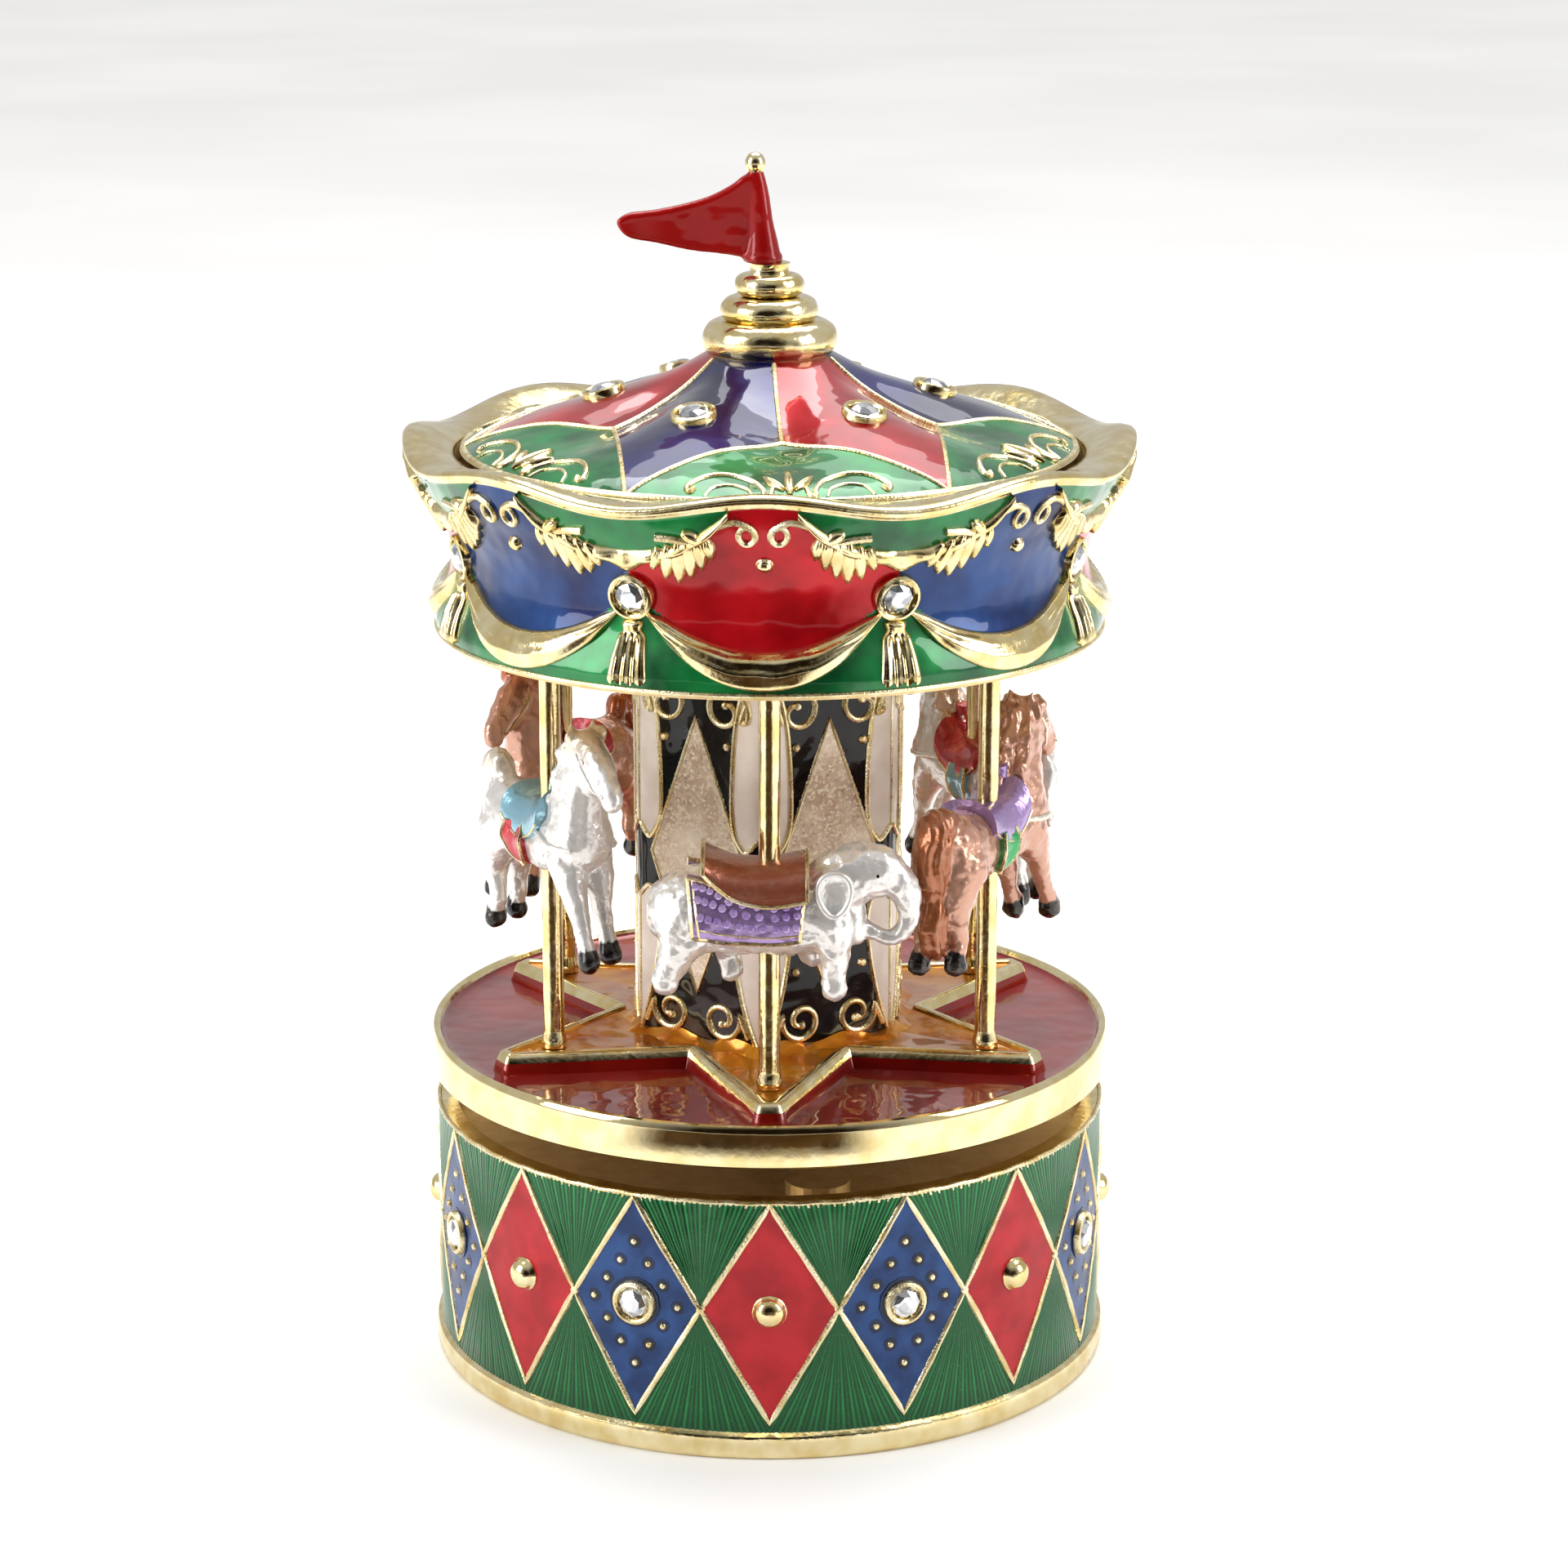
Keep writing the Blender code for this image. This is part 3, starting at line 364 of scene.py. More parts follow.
def makeWireTree():
    tree, given, names = startTree("laid_wire", [("Sides", "NodeSocketInt"), ("Thickness", "NodeSocketFloat"),
                                                 ("Material", "NodeSocketMaterial")])
    half = addNode(tree, "GeometryNodeInputNamedAttribute", {"Name": "halfWidth"}, data_type="FLOAT")
    curve = addNode(tree, "GeometryNodeMeshToCurve", {"Mesh": given.outputs["Geometry"]})
    sized = addNode(tree, "ShaderNodeMath", {0: half.outputs[0], 1: given.outputs["Thickness"]}, operation="MULTIPLY")
    radius = addNode(tree, "GeometryNodeSetCurveRadius", {"Curve": curve.outputs[0], "Radius": sized.outputs[0]})
    section = addNode(tree, "GeometryNodeCurvePrimitiveCircle", {"Resolution": given.outputs["Sides"], "Radius": 1.0})
    sweep = {"Curve": radius.outputs[0], "Profile Curve": section.outputs[0], "Fill Caps": True}
    node = addNode(tree, "GeometryNodeCurveToMesh", sweep)
    if "Scale" in node.inputs:
        tree.links.new(sized.outputs[0], node.inputs["Scale"])
    endTree(tree, node.outputs[0], given.outputs["Material"])
    return tree, names


def makeSettingTree():
    tree, given, names = startTree("set_on_surface", [("Shape", "NodeSocketObject"), ("Size", "NodeSocketFloat"),
                                                      ("Material", "NodeSocketMaterial")])
    facing = addNode(tree, "GeometryNodeInputNamedAttribute", {"Name": "facing"}, data_type="FLOAT_VECTOR")
    turned = addNode(tree, "FunctionNodeAlignRotationToVector", {"Vector": facing.outputs[0]}, axis="Z")
    shape = addNode(tree, "GeometryNodeObjectInfo", {"Object": given.outputs["Shape"]})
    scaled = addNode(tree, "ShaderNodeCombineXYZ", {i: given.outputs["Size"] for i in range(3)})
    placed = addNode(tree, "GeometryNodeInstanceOnPoints", {
        "Points": given.outputs["Geometry"], "Instance": shape.outputs["Geometry"],
        "Rotation": turned.outputs[0], "Scale": scaled.outputs[0]})
    endTree(tree, placed.outputs[0], given.outputs["Material"])
    return tree, names


wireTree, wireInputs = makeWireTree()
settingTree, settingInputs = makeSettingTree()


def runTree(name, mesh, tree, names, values, sharp=40):
    carrier = bpy.data.objects.new(name + "_source", mesh)
    bpy.context.scene.collection.objects.link(carrier)
    modifier = carrier.modifiers.new("tree", "NODES")
    modifier.node_group = tree
    for label, value in values.items():
        modifier[names[label]] = value
    bpy.context.view_layer.update()
    result = bpy.data.meshes.new_from_object(carrier.evaluated_get(bpy.context.evaluated_depsgraph_get()))
    result.name = name
    bpy.data.objects.remove(carrier)
    result.materials.clear()
    result.materials.append(values["Material"])
    result.polygons.foreach_set("material_index", np.zeros(len(result.polygons), np.int32))
    result.polygons.foreach_set("use_smooth", np.ones(len(result.polygons), bool))
    result.set_sharp_from_angle(angle=math.radians(sharp))
    return result


def joinMeshes(name, meshes):
    # several finished meshes become one piece, each keeping its material
    shape = bmesh.new()
    materials = []
    for mesh in meshes:
        before = len(shape.faces)
        shape.from_mesh(mesh)
        shape.faces.ensure_lookup_table()
        material = mesh.materials[0]
        if material not in materials:
            materials.append(material)
        for face in shape.faces[before:]:
            face.material_index = materials.index(material)
    whole = bpy.data.meshes.new(name)
    shape.to_mesh(whole)
    shape.free()
    for material in materials:
        whole.materials.append(material)
    piece = bpy.data.objects.new(name, whole)
    bpy.context.scene.collection.objects.link(piece)
    return piece


def wireMesh(name, paths, material, thickness=1.0, sides=8):
    # paths: (points in mm, half width in mm, closed)
    points, edges, halves = [], [], []
    for line, half, closed in paths:
        start, count = len(points), len(line)
        points += (np.asarray(line) * metres).tolist()
        halves += list(np.broadcast_to(half, count) * metres)
        edges += [(start + i, start + i + 1) for i in range(count - 1)]
        if closed:
            edges.append((start + count - 1, start))
    mesh = bpy.data.meshes.new(name)
    mesh.from_pydata(points, edges, [])
    mesh.attributes.new("halfWidth", "FLOAT", "POINT").data.foreach_set("value", np.array(halves, np.float32))
    return runTree(name, mesh, wireTree, wireInputs, {"Sides": sides, "Thickness": thickness, "Material": material})


def settingMesh(name, places, shape, size, material):
    # places: (point in mm, outward direction)
    mesh = bpy.data.meshes.new(name)
    mesh.from_pydata([(np.asarray(p) * metres).tolist() for p, _ in places], [], [])
    directions = np.array([d for _, d in places], np.float32)
    mesh.attributes.new("facing", "FLOAT_VECTOR", "POINT").data.foreach_set("vector", directions.ravel())
    return runTree(name, mesh, settingTree, settingInputs, {"Shape": shape, "Size": size, "Material": material},
                   8 if shape is stoneShape else 40)


def templateShape(name, rings, steps, tip):
    # rings of (radius, height) closed by a point; one millimetre across means size 1
    build = newBuild()
    angles = np.arange(steps) * 360 / steps
    points = [polar(angles + (180 / steps if twist else 0), r, z) for r, z, twist in rings]
    points = np.vstack([np.vstack(points), [[0, 0, tip]]])
    faces = gridFaces(len(rings), steps, False, True)
    top = (len(rings) - 1) * steps
    faces += [[top + i, top + (i + 1) % steps, len(rings) * steps] for i in range(steps)]
    faces.append(list(range(steps))[::-1])
    addFaces(build, points, faces)
    return makePiece(name, build, [], sharp=25 if "stone" in name else 50)


# sizes are shares of the setting's own radius
domeShape = templateShape("dome", [(1.12, -0.3, 0), (1.1, 0.03, 0), (1.0, 0.12, 0), (0.93, 0.38, 0), (0.72, 0.62, 0),
                                   (0.38, 0.77, 0)], 16, 0.82)
dotShape = templateShape("dot", [(1.0, -0.5, 0), (1.0, 0.1, 0), (0.72, 0.62, 0)], 8, 0.9)
bezelShape = templateShape("bezel", [(1.32, -0.4, 0), (1.34, 0.1, 0), (1.27, 0.28, 0), (1.12, 0.33, 0),
                                     (1.0, 0.25, 0), (0.98, 0.05, 0)], 24, 0.05)
stoneShape = templateShape("stone", [(0.99, -0.05, 0), (0.99, 0.1, 0), (0.82, 0.3, 1), (0.5, 0.48, 0)], 8, 0.485)
# the disc that carries the dark rim enamel: thicker glass and a painted contact shadow
meniscusShape = templateShape("meniscus", [(1.0, -0.3, 0), (1.0, 0.012, 0)], 12, 0.03)
print("trees and settings ready")


# drum

drum = {"radius": 34.4, "diamonds": 16, "turn": 0.0, "top": 26.3, "bottom": 3.7, "waist": 15.3, "bandTop": 2.5,
        "edgeTop": 26.55, "wire": 0.34, "raysPerField": 27, "rayDepth": 0.07, "stud": 1.55, "stone": 1.7, "dot": 0.36,
        "sink": 0.6}
drumStep = 360 / drum["diamonds"]


def drumPoint(angle, z, lift=0.0):
    return polar(np.asarray(angle) + drum["turn"], drum["radius"] + np.asarray(lift), z)


def makeDrum():
    profile = [(35.0, 0.5), (34.7, 0.05), (33.2, 0.0), (33.2, 8.0), (32.3, 9.0), (32.2, 26.3), (32.5, 26.6),
               (33.9, 26.6), (34.3, 26.5), (34.15, 26.0), (34.15, 2.9), (34.5, 2.62), (34.9, 2.4), (35.0, 2.1)]
    slots = [0, 1, 1, 1, 1, 0, 0, 0, 0, 0, 0, 0, 0, 0]
    shell = makePiece("drum_shell", revolvedBuild(profile, 144, slots), [goldPlate, goldDark])
    fitPiece(shell, "base", "gold_plate", "base_drum")

    build = newBuild()
    slopes = np.concatenate([[0, 0.012, 0.03, 0.07], np.linspace(0.16, 0.84, 8), [0.93, 0.97, 0.988, 1]])
    across, along = np.meshgrid(slopes, slopes)
    rim = np.minimum(np.minimum(across, 1 - across), np.minimum(along, 1 - along))
    height = (drum["top"] - drum["bottom"]) / 2
    middle = (drum["top"] + drum["bottom"]) / 2
    for i in range(drum["diamonds"]):
        a, z = i * drumStep + (across - along) * drumStep / 2, middle + (across + along - 1) * height
        lift = 0.05 - 0.09 * smoothStep(0, 0.12, rim)
        addPatch(build, drumPoint(a, z, lift), drumPoint(a, z, -drum["sink"]), 1 + i % 2)
    addRayFields(build)
    cells = makePiece("drum_enamel", build, [enamelGreenRay, enamelRedFlat, enamelBlueFlat, goldWire], sharp=60)
    fitPiece(cells, "base", "enamel_green")

    paths = []
    for tip in (drum["top"], drum["bottom"]):
        line = []
        for i in range(drum["diamonds"]):
            for t in np.arange(14) / 14:
                line.append((i * drumStep + t * drumStep / 2, tip + (drum["waist"] - tip) * t))
            for t in np.arange(14) / 14:
                line.append((i * drumStep + (1 + t) * drumStep / 2, drum["waist"] + (tip - drum["waist"]) * t))
        line = np.array(line)
        wobble = 1 + 0.07 * np.sin(np.arange(len(line)) * 1.7) + 0.05 * np.sin(np.arange(len(line)) * 0.61)
        paths.append((drumPoint(line[:, 0], line[:, 1], -0.08), drum["wire"] * wobble, True))
    ringAngles = np.arange(288) * 360 / 288
    paths.append((drumPoint(ringAngles, 26.5 + 0.05 * np.sin(ringAngles), -0.05), 0.22, True))
    meshes = [wireMesh("drum_wire", paths, goldWire)]
    knots, studs, stones, dots = [], [], [], []
    for i in range(drum["diamonds"]):
        a = i * drumStep
        out = drumPoint(a, 0, 1) - drumPoint(a, 0, 0)
        side = drumPoint(a + drumStep / 2, 0, 1) - drumPoint(a + drumStep / 2, 0, 0)
        knots.append((drumPoint(a + drumStep / 2, drum["waist"], -0.12), side))
        if i % 2 == 0:
            studs.append((drumPoint(a, drum["waist"], -0.02), out))
            continue
        stones.append((drumPoint(a, drum["waist"], -0.02), out))
        for k in range(12):
            corner, share = divmod(k, 3)
            ends = [(0, 1), (1, 0), (0, -1), (-1, 0), (0, 1)]
            x = ends[corner][0] + (ends[corner + 1][0] - ends[corner][0]) * share / 3
            y = ends[corner][1] + (ends[corner + 1][1] - ends[corner][1]) * share / 3
            da, dz = x * drumStep / 2 * 0.66, y * height * 0.56
            dots.append((drumPoint(a + da, drum["waist"] + dz, -0.03),
                         drumPoint(a + da, 0, 1) - drumPoint(a + da, 0, 0)))
    meshes += [settingMesh("drum_knots", knots, dotShape, 0.55, goldWire),
               settingMesh("drum_studs", studs, domeShape, drum["stud"], goldPlate),
               settingMesh("drum_bezels", stones, bezelShape, drum["stone"], goldWire),
               settingMesh("drum_dots", dots, dotShape, drum["dot"], goldWire)]
    fitPiece(joinMeshes("drum_goldwork", meshes), "base", "gold_plate")
    # dark enamel rings round the dots and stones, partly thicker glass and partly a painted contact shadow
    meshes = [settingMesh("drum_dot_edges", dots, meniscusShape, drum["dot"] * 2.0, enamelRimShadow),
              settingMesh("drum_stone_edges", stones, meniscusShape, drum["stone"] * 1.58, enamelRimShadow)]
    fitPiece(joinMeshes("drum_enamel_edges", meshes), "base", "enamel_blue")
    fitPiece(joinMeshes("drum_stones", [settingMesh("drum_stones", stones, stoneShape, drum["stone"], crystal)]),
             "base", "stone")


def addRayFields(build):
    # rays cut from each crossing towards the rim, as real furrows under the green
    rays, steps = drum["raysPerField"], 4
    count = rays * steps + 1
    reach = np.concatenate([[0.0, 0.06], np.linspace(0.14, 0.9, 9), [0.95, 0.972, 0.986, 1.0]])
    halfCell = math.radians(drumStep / 2) * drum["radius"]
    for i in range(drum["diamonds"]):
        centre = (i + 0.5) * drumStep
        for tip, edge in ((drum["top"], drum["edgeTop"]), (drum["bottom"], drum["bandTop"])):
            outline = np.array([(-halfCell, tip), (-halfCell, edge), (halfCell, edge), (halfCell, tip)])
            length = np.concatenate([[0], np.cumsum(np.hypot(*np.diff(outline, axis=0).T))])
            place = np.linspace(0, length[-1], count)
            ends = np.stack([np.interp(place, length, outline[:, k]) for k in (0, 1)], 1)
            phase = np.arange(count) / steps
            strength = 0.75 + 0.25 * np.sin(np.floor(phase) * 2.4 + i)
            furrow = 0.5 + 0.5 * np.cos(2 * math.pi * phase)
            x = ends[None, :, 0] * reach[:, None]
            z = drum["waist"] + (ends[None, :, 1] - drum["waist"]) * reach[:, None]
            depth = drum["rayDepth"] * smoothStep(0.05, 0.5, reach)[:, None] * furrow * strength
            lift = 0.02 - depth + 0.05 * smoothStep(0.97, 1.0, reach)[:, None]
            # painted light and shade: ridges lighter, furrows darker, each ray lighter towards its outer end as a
            # painted highlight
            shade = np.clip((1 - furrow) * strength * (0.55 + 0.45 * reach[:, None]), 0, 1) ** 1.6
            # painted shade: the lower fields darken towards the foot band
            shade = shade * (1 - 0.5 * smoothStep(0.8, 1.0, reach)[:, None] * (tip < 10))
            a = centre + np.degrees(x / drum["radius"])
            slots = np.zeros((len(reach) - 1, count - 1), int)
            if edge > drum["waist"]:
                for c in range(count - 1):
                    teeth = 1 + int((c % steps) in (1, 2)) + int(math.sin(c * 0.9 + i) > 0.75)
                    slots[len(reach) - 1 - teeth:, c] = 3
            addPatch(build, drumPoint(a, z, lift), drumPoint(a, z, -drum["sink"]), slots.ravel().tolist(), shade)


makeDrum()
print("drum made")


# platform and star

star = {"tip": 30.8, "notch": 15.9, "bluntHalf": 1.0, "top": 35.4, "points": 6}


def makePlatform():
    profile = [(0, 30.1), (30.0, 30.1), (33.4, 30.0), (34.5, 30.05), (34.92, 30.35), (35.0, 31.0), (35.0, 33.5),
               (34.95, 34.0), (34.75, 34.33), (34.4, 34.42), (34.1, 34.25), (33.9, 33.75), (33.6, 33.1), (0, 33.1)]
    ring = makePiece("platform_rim", revolvedBuild(profile, 180, [1, 1] + [0] * 11), [goldRim, goldDark], sharp=30)
    fitPiece(ring, "carousel", "gold_plate", "turntable_platform")
    profile = [(0, 33.0), (33.7, 33.0), (33.98, 33.9), (33.75, 33.62), (33.3, 33.45), (32.0, 33.4), (0, 33.4)]
    floorSkin = makePiece("platform_enamel", revolvedBuild(profile, 144), [enamelFloor], sharp=30)
    fitPiece(floorSkin, "carousel", "enamel_red")


def starOutline(inset, corner=0.55):
    # each side moves in by inset, and every corner is a small arc of the same number of points
    corners = []
    for k in range(star["points"]):
        turn = math.radians(60 * k)
        for x, y in ((-star["bluntHalf"], star["tip"]), (star["bluntHalf"], star["tip"])):
            corners.append((x * math.cos(turn) + y * math.sin(turn), -y * math.cos(turn) + x * math.sin(turn)))
        turn += math.radians(30)
        corners.append((star["notch"] * math.sin(turn), -star["notch"] * math.cos(turn)))
    corners = np.array(corners)
    count, out = len(corners), []
    sides = np.roll(corners, -1, 0) - corners
    sides /= np.linalg.norm(sides, axis=1)[:, None]
    inward = np.stack([-sides[:, 1], sides[:, 0]], 1)
    for i in range(count):
        d0, d1, n0, n1 = sides[i - 1], sides[i], inward[i - 1], inward[i]
        turnSign = np.sign(d0[0] * d1[1] - d0[1] * d1[0])
        radius = max(corner - inset * turnSign, 0.06)
        # the arc's centre stands radius inside both moved sides
        shift = inset + radius * turnSign
        base0, base1 = corners[i] + n0 * shift, corners[i] + n1 * shift
        t = np.linalg.solve(np.stack([d0, -d1], 1), base1 - base0)[0]
        centre = base0 + d0 * t
        for share in np.linspace(0, 1, 6):
            direction = -turnSign * (n0 * (1 - share) + n1 * share)
            out.append(centre + radius * direction / np.linalg.norm(direction))
    return np.array(out)


def makeStar():
    rings = [(-0.75, 33.2, 1), (-0.7, 33.45, 1), (-0.35, 34.5, 1), (-0.12, 34.95, 0), (0.05, 35.25, 0),
             (0.3, star["top"], 0), (0.75, star["top"], 0), (1.05, 35.28, 0), (1.2, 35.05, 2), (1.35, 35.0, 2)]
    build = newBuild()
    loops = []
    for inset, z, _ in rings:
        line = starOutline(inset)
        loops.append(np.column_stack([line, np.full(len(line), z)]))
    # finer steps along the straight sides let the casting waver a little
    count = len(loops[0])
    fine = []
    for loop in loops:
        dense = []
        for i in range(count):
            a, b = loop[i], loop[(i + 1) % count]
            pieces = 10 if i % 6 == 5 else 1
            dense += [a + (b - a) * t for t in np.arange(pieces) / pieces]
        fine.append(np.array(dense))
    for k, loop in enumerate(fine):
        if 3 <= k <= 7:
            loop[:, 2] += [0.045 * noise.noise(Vector((p[0] * 0.5, p[1] * 0.5, 3.0))) for p in loop]
    steps = len(fine[0])
    faces = gridFaces(len(fine), steps, False, True)
    slots = [rings[i // steps + 1][2] for i in range(len(faces))]
    last = (len(fine) - 1) * steps
    faces += [[last + i for i in range(steps)], list(range(steps))[::-1]]
    addFaces(build, np.vstack(fine), faces, slots + [2, 1])
    piece = makePiece("star_plinth", build, [goldPlate, enamelFloor, enamelAmber], sharp=35)
    fitPiece(piece, "carousel", "gold_plate", "platform_star")


makePlatform()
makeStar()
print("platform and star made")


# poles

poles = {"count": 6, "circle": 25.05, "radius": 1.05, "top": 77.6}


def polesAt(index):
    angle = index * 60
    return polar(angle, poles["circle"], 0), polar(angle, 1, 0), polar(angle + 90, 1, 0)


def makePoles():
    for index in range(poles["count"]):
        centre = polesAt(index)[0]
        heights = np.concatenate([[35.0, 35.15, 35.5, 35.95, 36.4, 36.75], np.linspace(37.0, 76.9, 24),
                                  [poles["top"]]])
        radii = np.concatenate([[0.0, 1.3, 1.32, 1.25, 1.15, 1.08], np.full(24, poles["radius"]), [poles["radius"]]])
        wave = 1 + 0.012 * np.sin(heights * 0.9 + index * 2)
        profile = list(zip(radii * wave, heights)) + [(0.0, poles["top"])]
        build = revolvedBuild(profile, 20)
        build["points"][0] += centre
        piece = makePiece(f"pole_{index + 1}", build, [goldPlate], sharp=50)
        fitPiece(piece, "carousel", "gold_plate", f"ride_pole_{index + 1}")


makePoles()
print("poles made")


# column

column = {"apothem": 13.25, "corner": 14.8, "turn": -3.4, "low": 34.9, "high": 77.3, "wire": 0.27}


def columnTable():
    phi = np.linspace(-30, 30, 241)
    others = np.cos(np.radians(phi[:, None] - np.array([-60, 0, 60])[None]))
    radius = column["apothem"] * (np.clip(others, 1e-3, 1) ** column["corner"]).sum(1) ** (-1 / column["corner"])
    flat = polar(phi, radius, 0)
    length = np.concatenate([[0], np.cumsum(np.linalg.norm(np.diff(flat, axis=0), axis=1))])
    length -= length[-1] / 2
    return phi, radius, length


columnPhi, columnRadius, columnLength = columnTable()
columnHalf = columnLength[-1]


def columnPoint(panel, s, z, lift=0.0):
    # s is the way along the wall from the middle of a panel, in millimetres
    s, z, lift = np.broadcast_arrays(np.asarray(s, float), np.asarray(z, float), np.asarray(lift, float))
    phi = np.interp(s, columnLength, columnPhi)
    radius = np.interp(s, columnLength, columnRadius)
    return polar(phi + 30 + 60 * panel + column["turn"], radius + lift, z)


stripEdge = np.array([(77.4, 1.0), (74.5, 1.25), (72, 1.9), (69, 2.6), (65, 3.0), (61, 3.15), (58.6, 3.05),
                      (57.2, 2.7), (56.2, 2.1), (55.8, 1.5)])
stripFoot = np.array([(50.7, 1.5), (50.2, 2.2), (49.2, 2.8), (47.5, 3.05), (44.2, 2.75), (41, 2.15), (38, 1.35),
                      (35.6, 0.5)])


def insideStrip(c, z):
    upper = (z > 55.8) & (c < np.interp(z, *stripEdge[::-1].T)) & (c > np.where(z < 57.2, (57.2 - z) * 0.9, 0))
    lower = (z < 50.7) & (c < np.interp(z, *stripFoot[::-1].T)) & (c > np.where(z > 49.5, (z - 49.5) * 0.9, 0))
    return upper | lower


def insideDiamond(s, z):
    up = (z - 54.4) / np.where(z > 54.4, 14.6, 14.2)
    return np.abs(s) / 5.5 + np.abs(up) ** 1.08 < 1


def makeColumn():
    rows, perPanel = 170, 62
    z = np.linspace(column["low"], column["high"], rows)
    s = -columnHalf + (np.arange(perPanel) + 0.0) * 2 * columnHalf / perPanel
    build = newBuild()
    points = np.concatenate([columnPoint(k, s[None, :], z[:, None]) for k in range(6)], axis=1)
    faces = gridFaces(rows, perPanel * 6, False, True)
    mid = s + columnHalf / perPanel
    zm = (z[:-1] + z[1:]) / 2
    sGrid, zGrid = np.meshgrid(np.tile(mid, 6), zm)
    slots = np.where(insideStrip(columnHalf - np.abs(sGrid), zGrid), 1, np.where(insideDiamond(sGrid, zGrid), 2, 0))
    columns = perPanel * 6
    last = (rows - 1) * columns
    faces += [[last + i for i in range(columns)], list(range(columns))[::-1]]
    addFaces(build, points, faces, slots.ravel().tolist() + [0, 0])
    skin = makePiece("column_enamel", build, [enamelBlack, enamelCream, glitter], sharp=60)
    fitPiece(skin, "carousel", "enamel_black", "centre_column")

    paths, dots = [], []
    for k in range(6):
        for side in (-1, 1):
            for line in (stripEdge, stripFoot):
                c = np.concatenate([line[:, 1], [0.25] * 1])
                if line is stripEdge:
                    h = np.concatenate([line[:, 0], [line[-1, 0] + 1.2]])
                else:
                    h = np.concatenate([[line[0, 0] - 1.2], line[:, 0]])
                if line is stripFoot:
                    c = np.concatenate([[0.25], line[:, 1]])
                curve = splinePoints(np.column_stack([side * (columnHalf - c), h]), 5)
                paths.append((columnPoint(k, curve[:, 0], curve[:, 1], 0.02), column["wire"], False))
            for z0, flip in ((70.0, 1), (38.0, -1)):
                paths.append(scrollPath(k, side, z0, flip))
                curl = paths[-1][0][-1]
                dots.append((curl, columnPoint(k, side * 3.4, 0, 1) - columnPoint(k, side * 3.4, 0, 0), 0.55))
            for zDot in (66.4, 43.2):
                dots.append((columnPoint(k, side * 3.75, zDot, 0.0),
                             columnPoint(k, side * 3.75, 0, 1) - columnPoint(k, side * 3.75, 0, 0), 0.5))
        loop = []
        for s0, z0, s1, z1 in ((0, 69.0, 5.5, 54.4), (5.5, 54.4, 0, 40.2), (0, 40.2, -5.5, 54.4),
                               (-5.5, 54.4, 0, 69.0)):
            loop += [(s0 + (s1 - s0) * t, z0 + (z1 - z0) * t) for t in np.arange(10) / 10]
        loop = np.array(loop)
        paths.append((columnPoint(k, loop[:, 0], loop[:, 1], 0.0), 0.17, True))
        seam = np.array([(columnHalf - 0.02, h) for h in np.linspace(35.2, 77.2, 40)])
        for part in (seam[seam[:, 1] > 56.5], seam[seam[:, 1] < 49.6]):
            paths.append((columnPoint(k, part[:, 0], part[:, 1], 0.0), 0.16, False))
    meshes = [wireMesh("column_wire", paths, goldWire)]
    meshes.append(settingMesh("column_dots", [d[:2] for d in dots], dotShape, 0.5, goldWire))
    fitPiece(joinMeshes("column_goldwork", meshes), "carousel", "gold_plate")
    # amber glass has run up against the foot of the wall
    build = newBuild()
    ringS = np.linspace(-columnHalf, columnHalf, 31)[:-1]
    outer = np.concatenate([columnPoint(k, ringS, 34.9, 1.5 + 0.5 * np.sin(ringS * 1.3 + k)) for k in range(6)])
    middle = np.concatenate([columnPoint(k, ringS, 35.25, 0.7 + 0.3 * np.sin(ringS * 1.3 + k)) for k in range(6)])
    upper = np.concatenate([columnPoint(k, ringS, 35.9 + 0.35 * np.sin(ringS * 0.9 + 2 * k), 0.12) for k in range(6)])
    inner = np.concatenate([columnPoint(k, ringS, 34.9, -0.6) for k in range(6)])
    addFaces(build, np.stack([outer, middle, upper, inner]), gridFaces(4, len(outer), True, True))
    fitPiece(makePiece("column_foot_enamel", build, [enamelAmber], sharp=80), "carousel", "enamel_amber")


def scrollPath(panel, side, z0, flip):
    # a tail from the edge strip runs into one and a half turns of spiral
    turns = np.linspace(0, 1, 40)
    radius = (2.6 if flip > 0 else 2.15) * (1 - 0.78 * turns ** 1.3)
    angle = np.radians(200 - 470 * turns)
    s = side * (3.6 if flip > 0 else 3.1) + side * -1 * radius * np.cos(angle)
    z = z0 + flip * radius * np.sin(angle)
    tailS = [side * (columnHalf - (1.4 if flip > 0 else 1.2)), side * (columnHalf - 2.0)]
    tailZ = [z0 + flip * 0.9 if flip > 0 else z0 - 1.6, z0 + (-0.9 if flip > 0 else 0.2)]
    line = np.vstack([splinePoints(np.column_stack([tailS + [s[0]], tailZ + [z[0]]]), 6)[:-1],
                      np.column_stack([s, z])])
    thick = 0.37 * (1 - 0.2 * np.linspace(0, 1, len(line)))
    return columnPoint(panel, line[:, 0], line[:, 1], 0.02), thick, False


makeColumn()
print("column made")


# canopy valance

valance = {"panels": 8, "turn": -1.0, "crystalZ": 85.3, "stone": 1.75, "wave": 0.8, "lip": 94.1,
           "swagHigh": 1.0, "reach": 36.62}
wallProfile = np.array([(33.55, 76.3), (33.68, 77.0), (33.7, 77.9), (33.2, 79.5), (32.4, 81.2), (32.0, 83.0),
                        (32.05, 84.6), (32.4, 86.3), (33.1, 88.0), (33.9, 89.6), (35.0, 91.3), (35.75, 92.9),
                        (36.15, 94.2), (36.3, 95.2)])


def wallRadius(z):
    return np.interp(z, smoothWall[:, 1], smoothWall[:, 0])


smoothWall = splinePoints(wallProfile, 6)


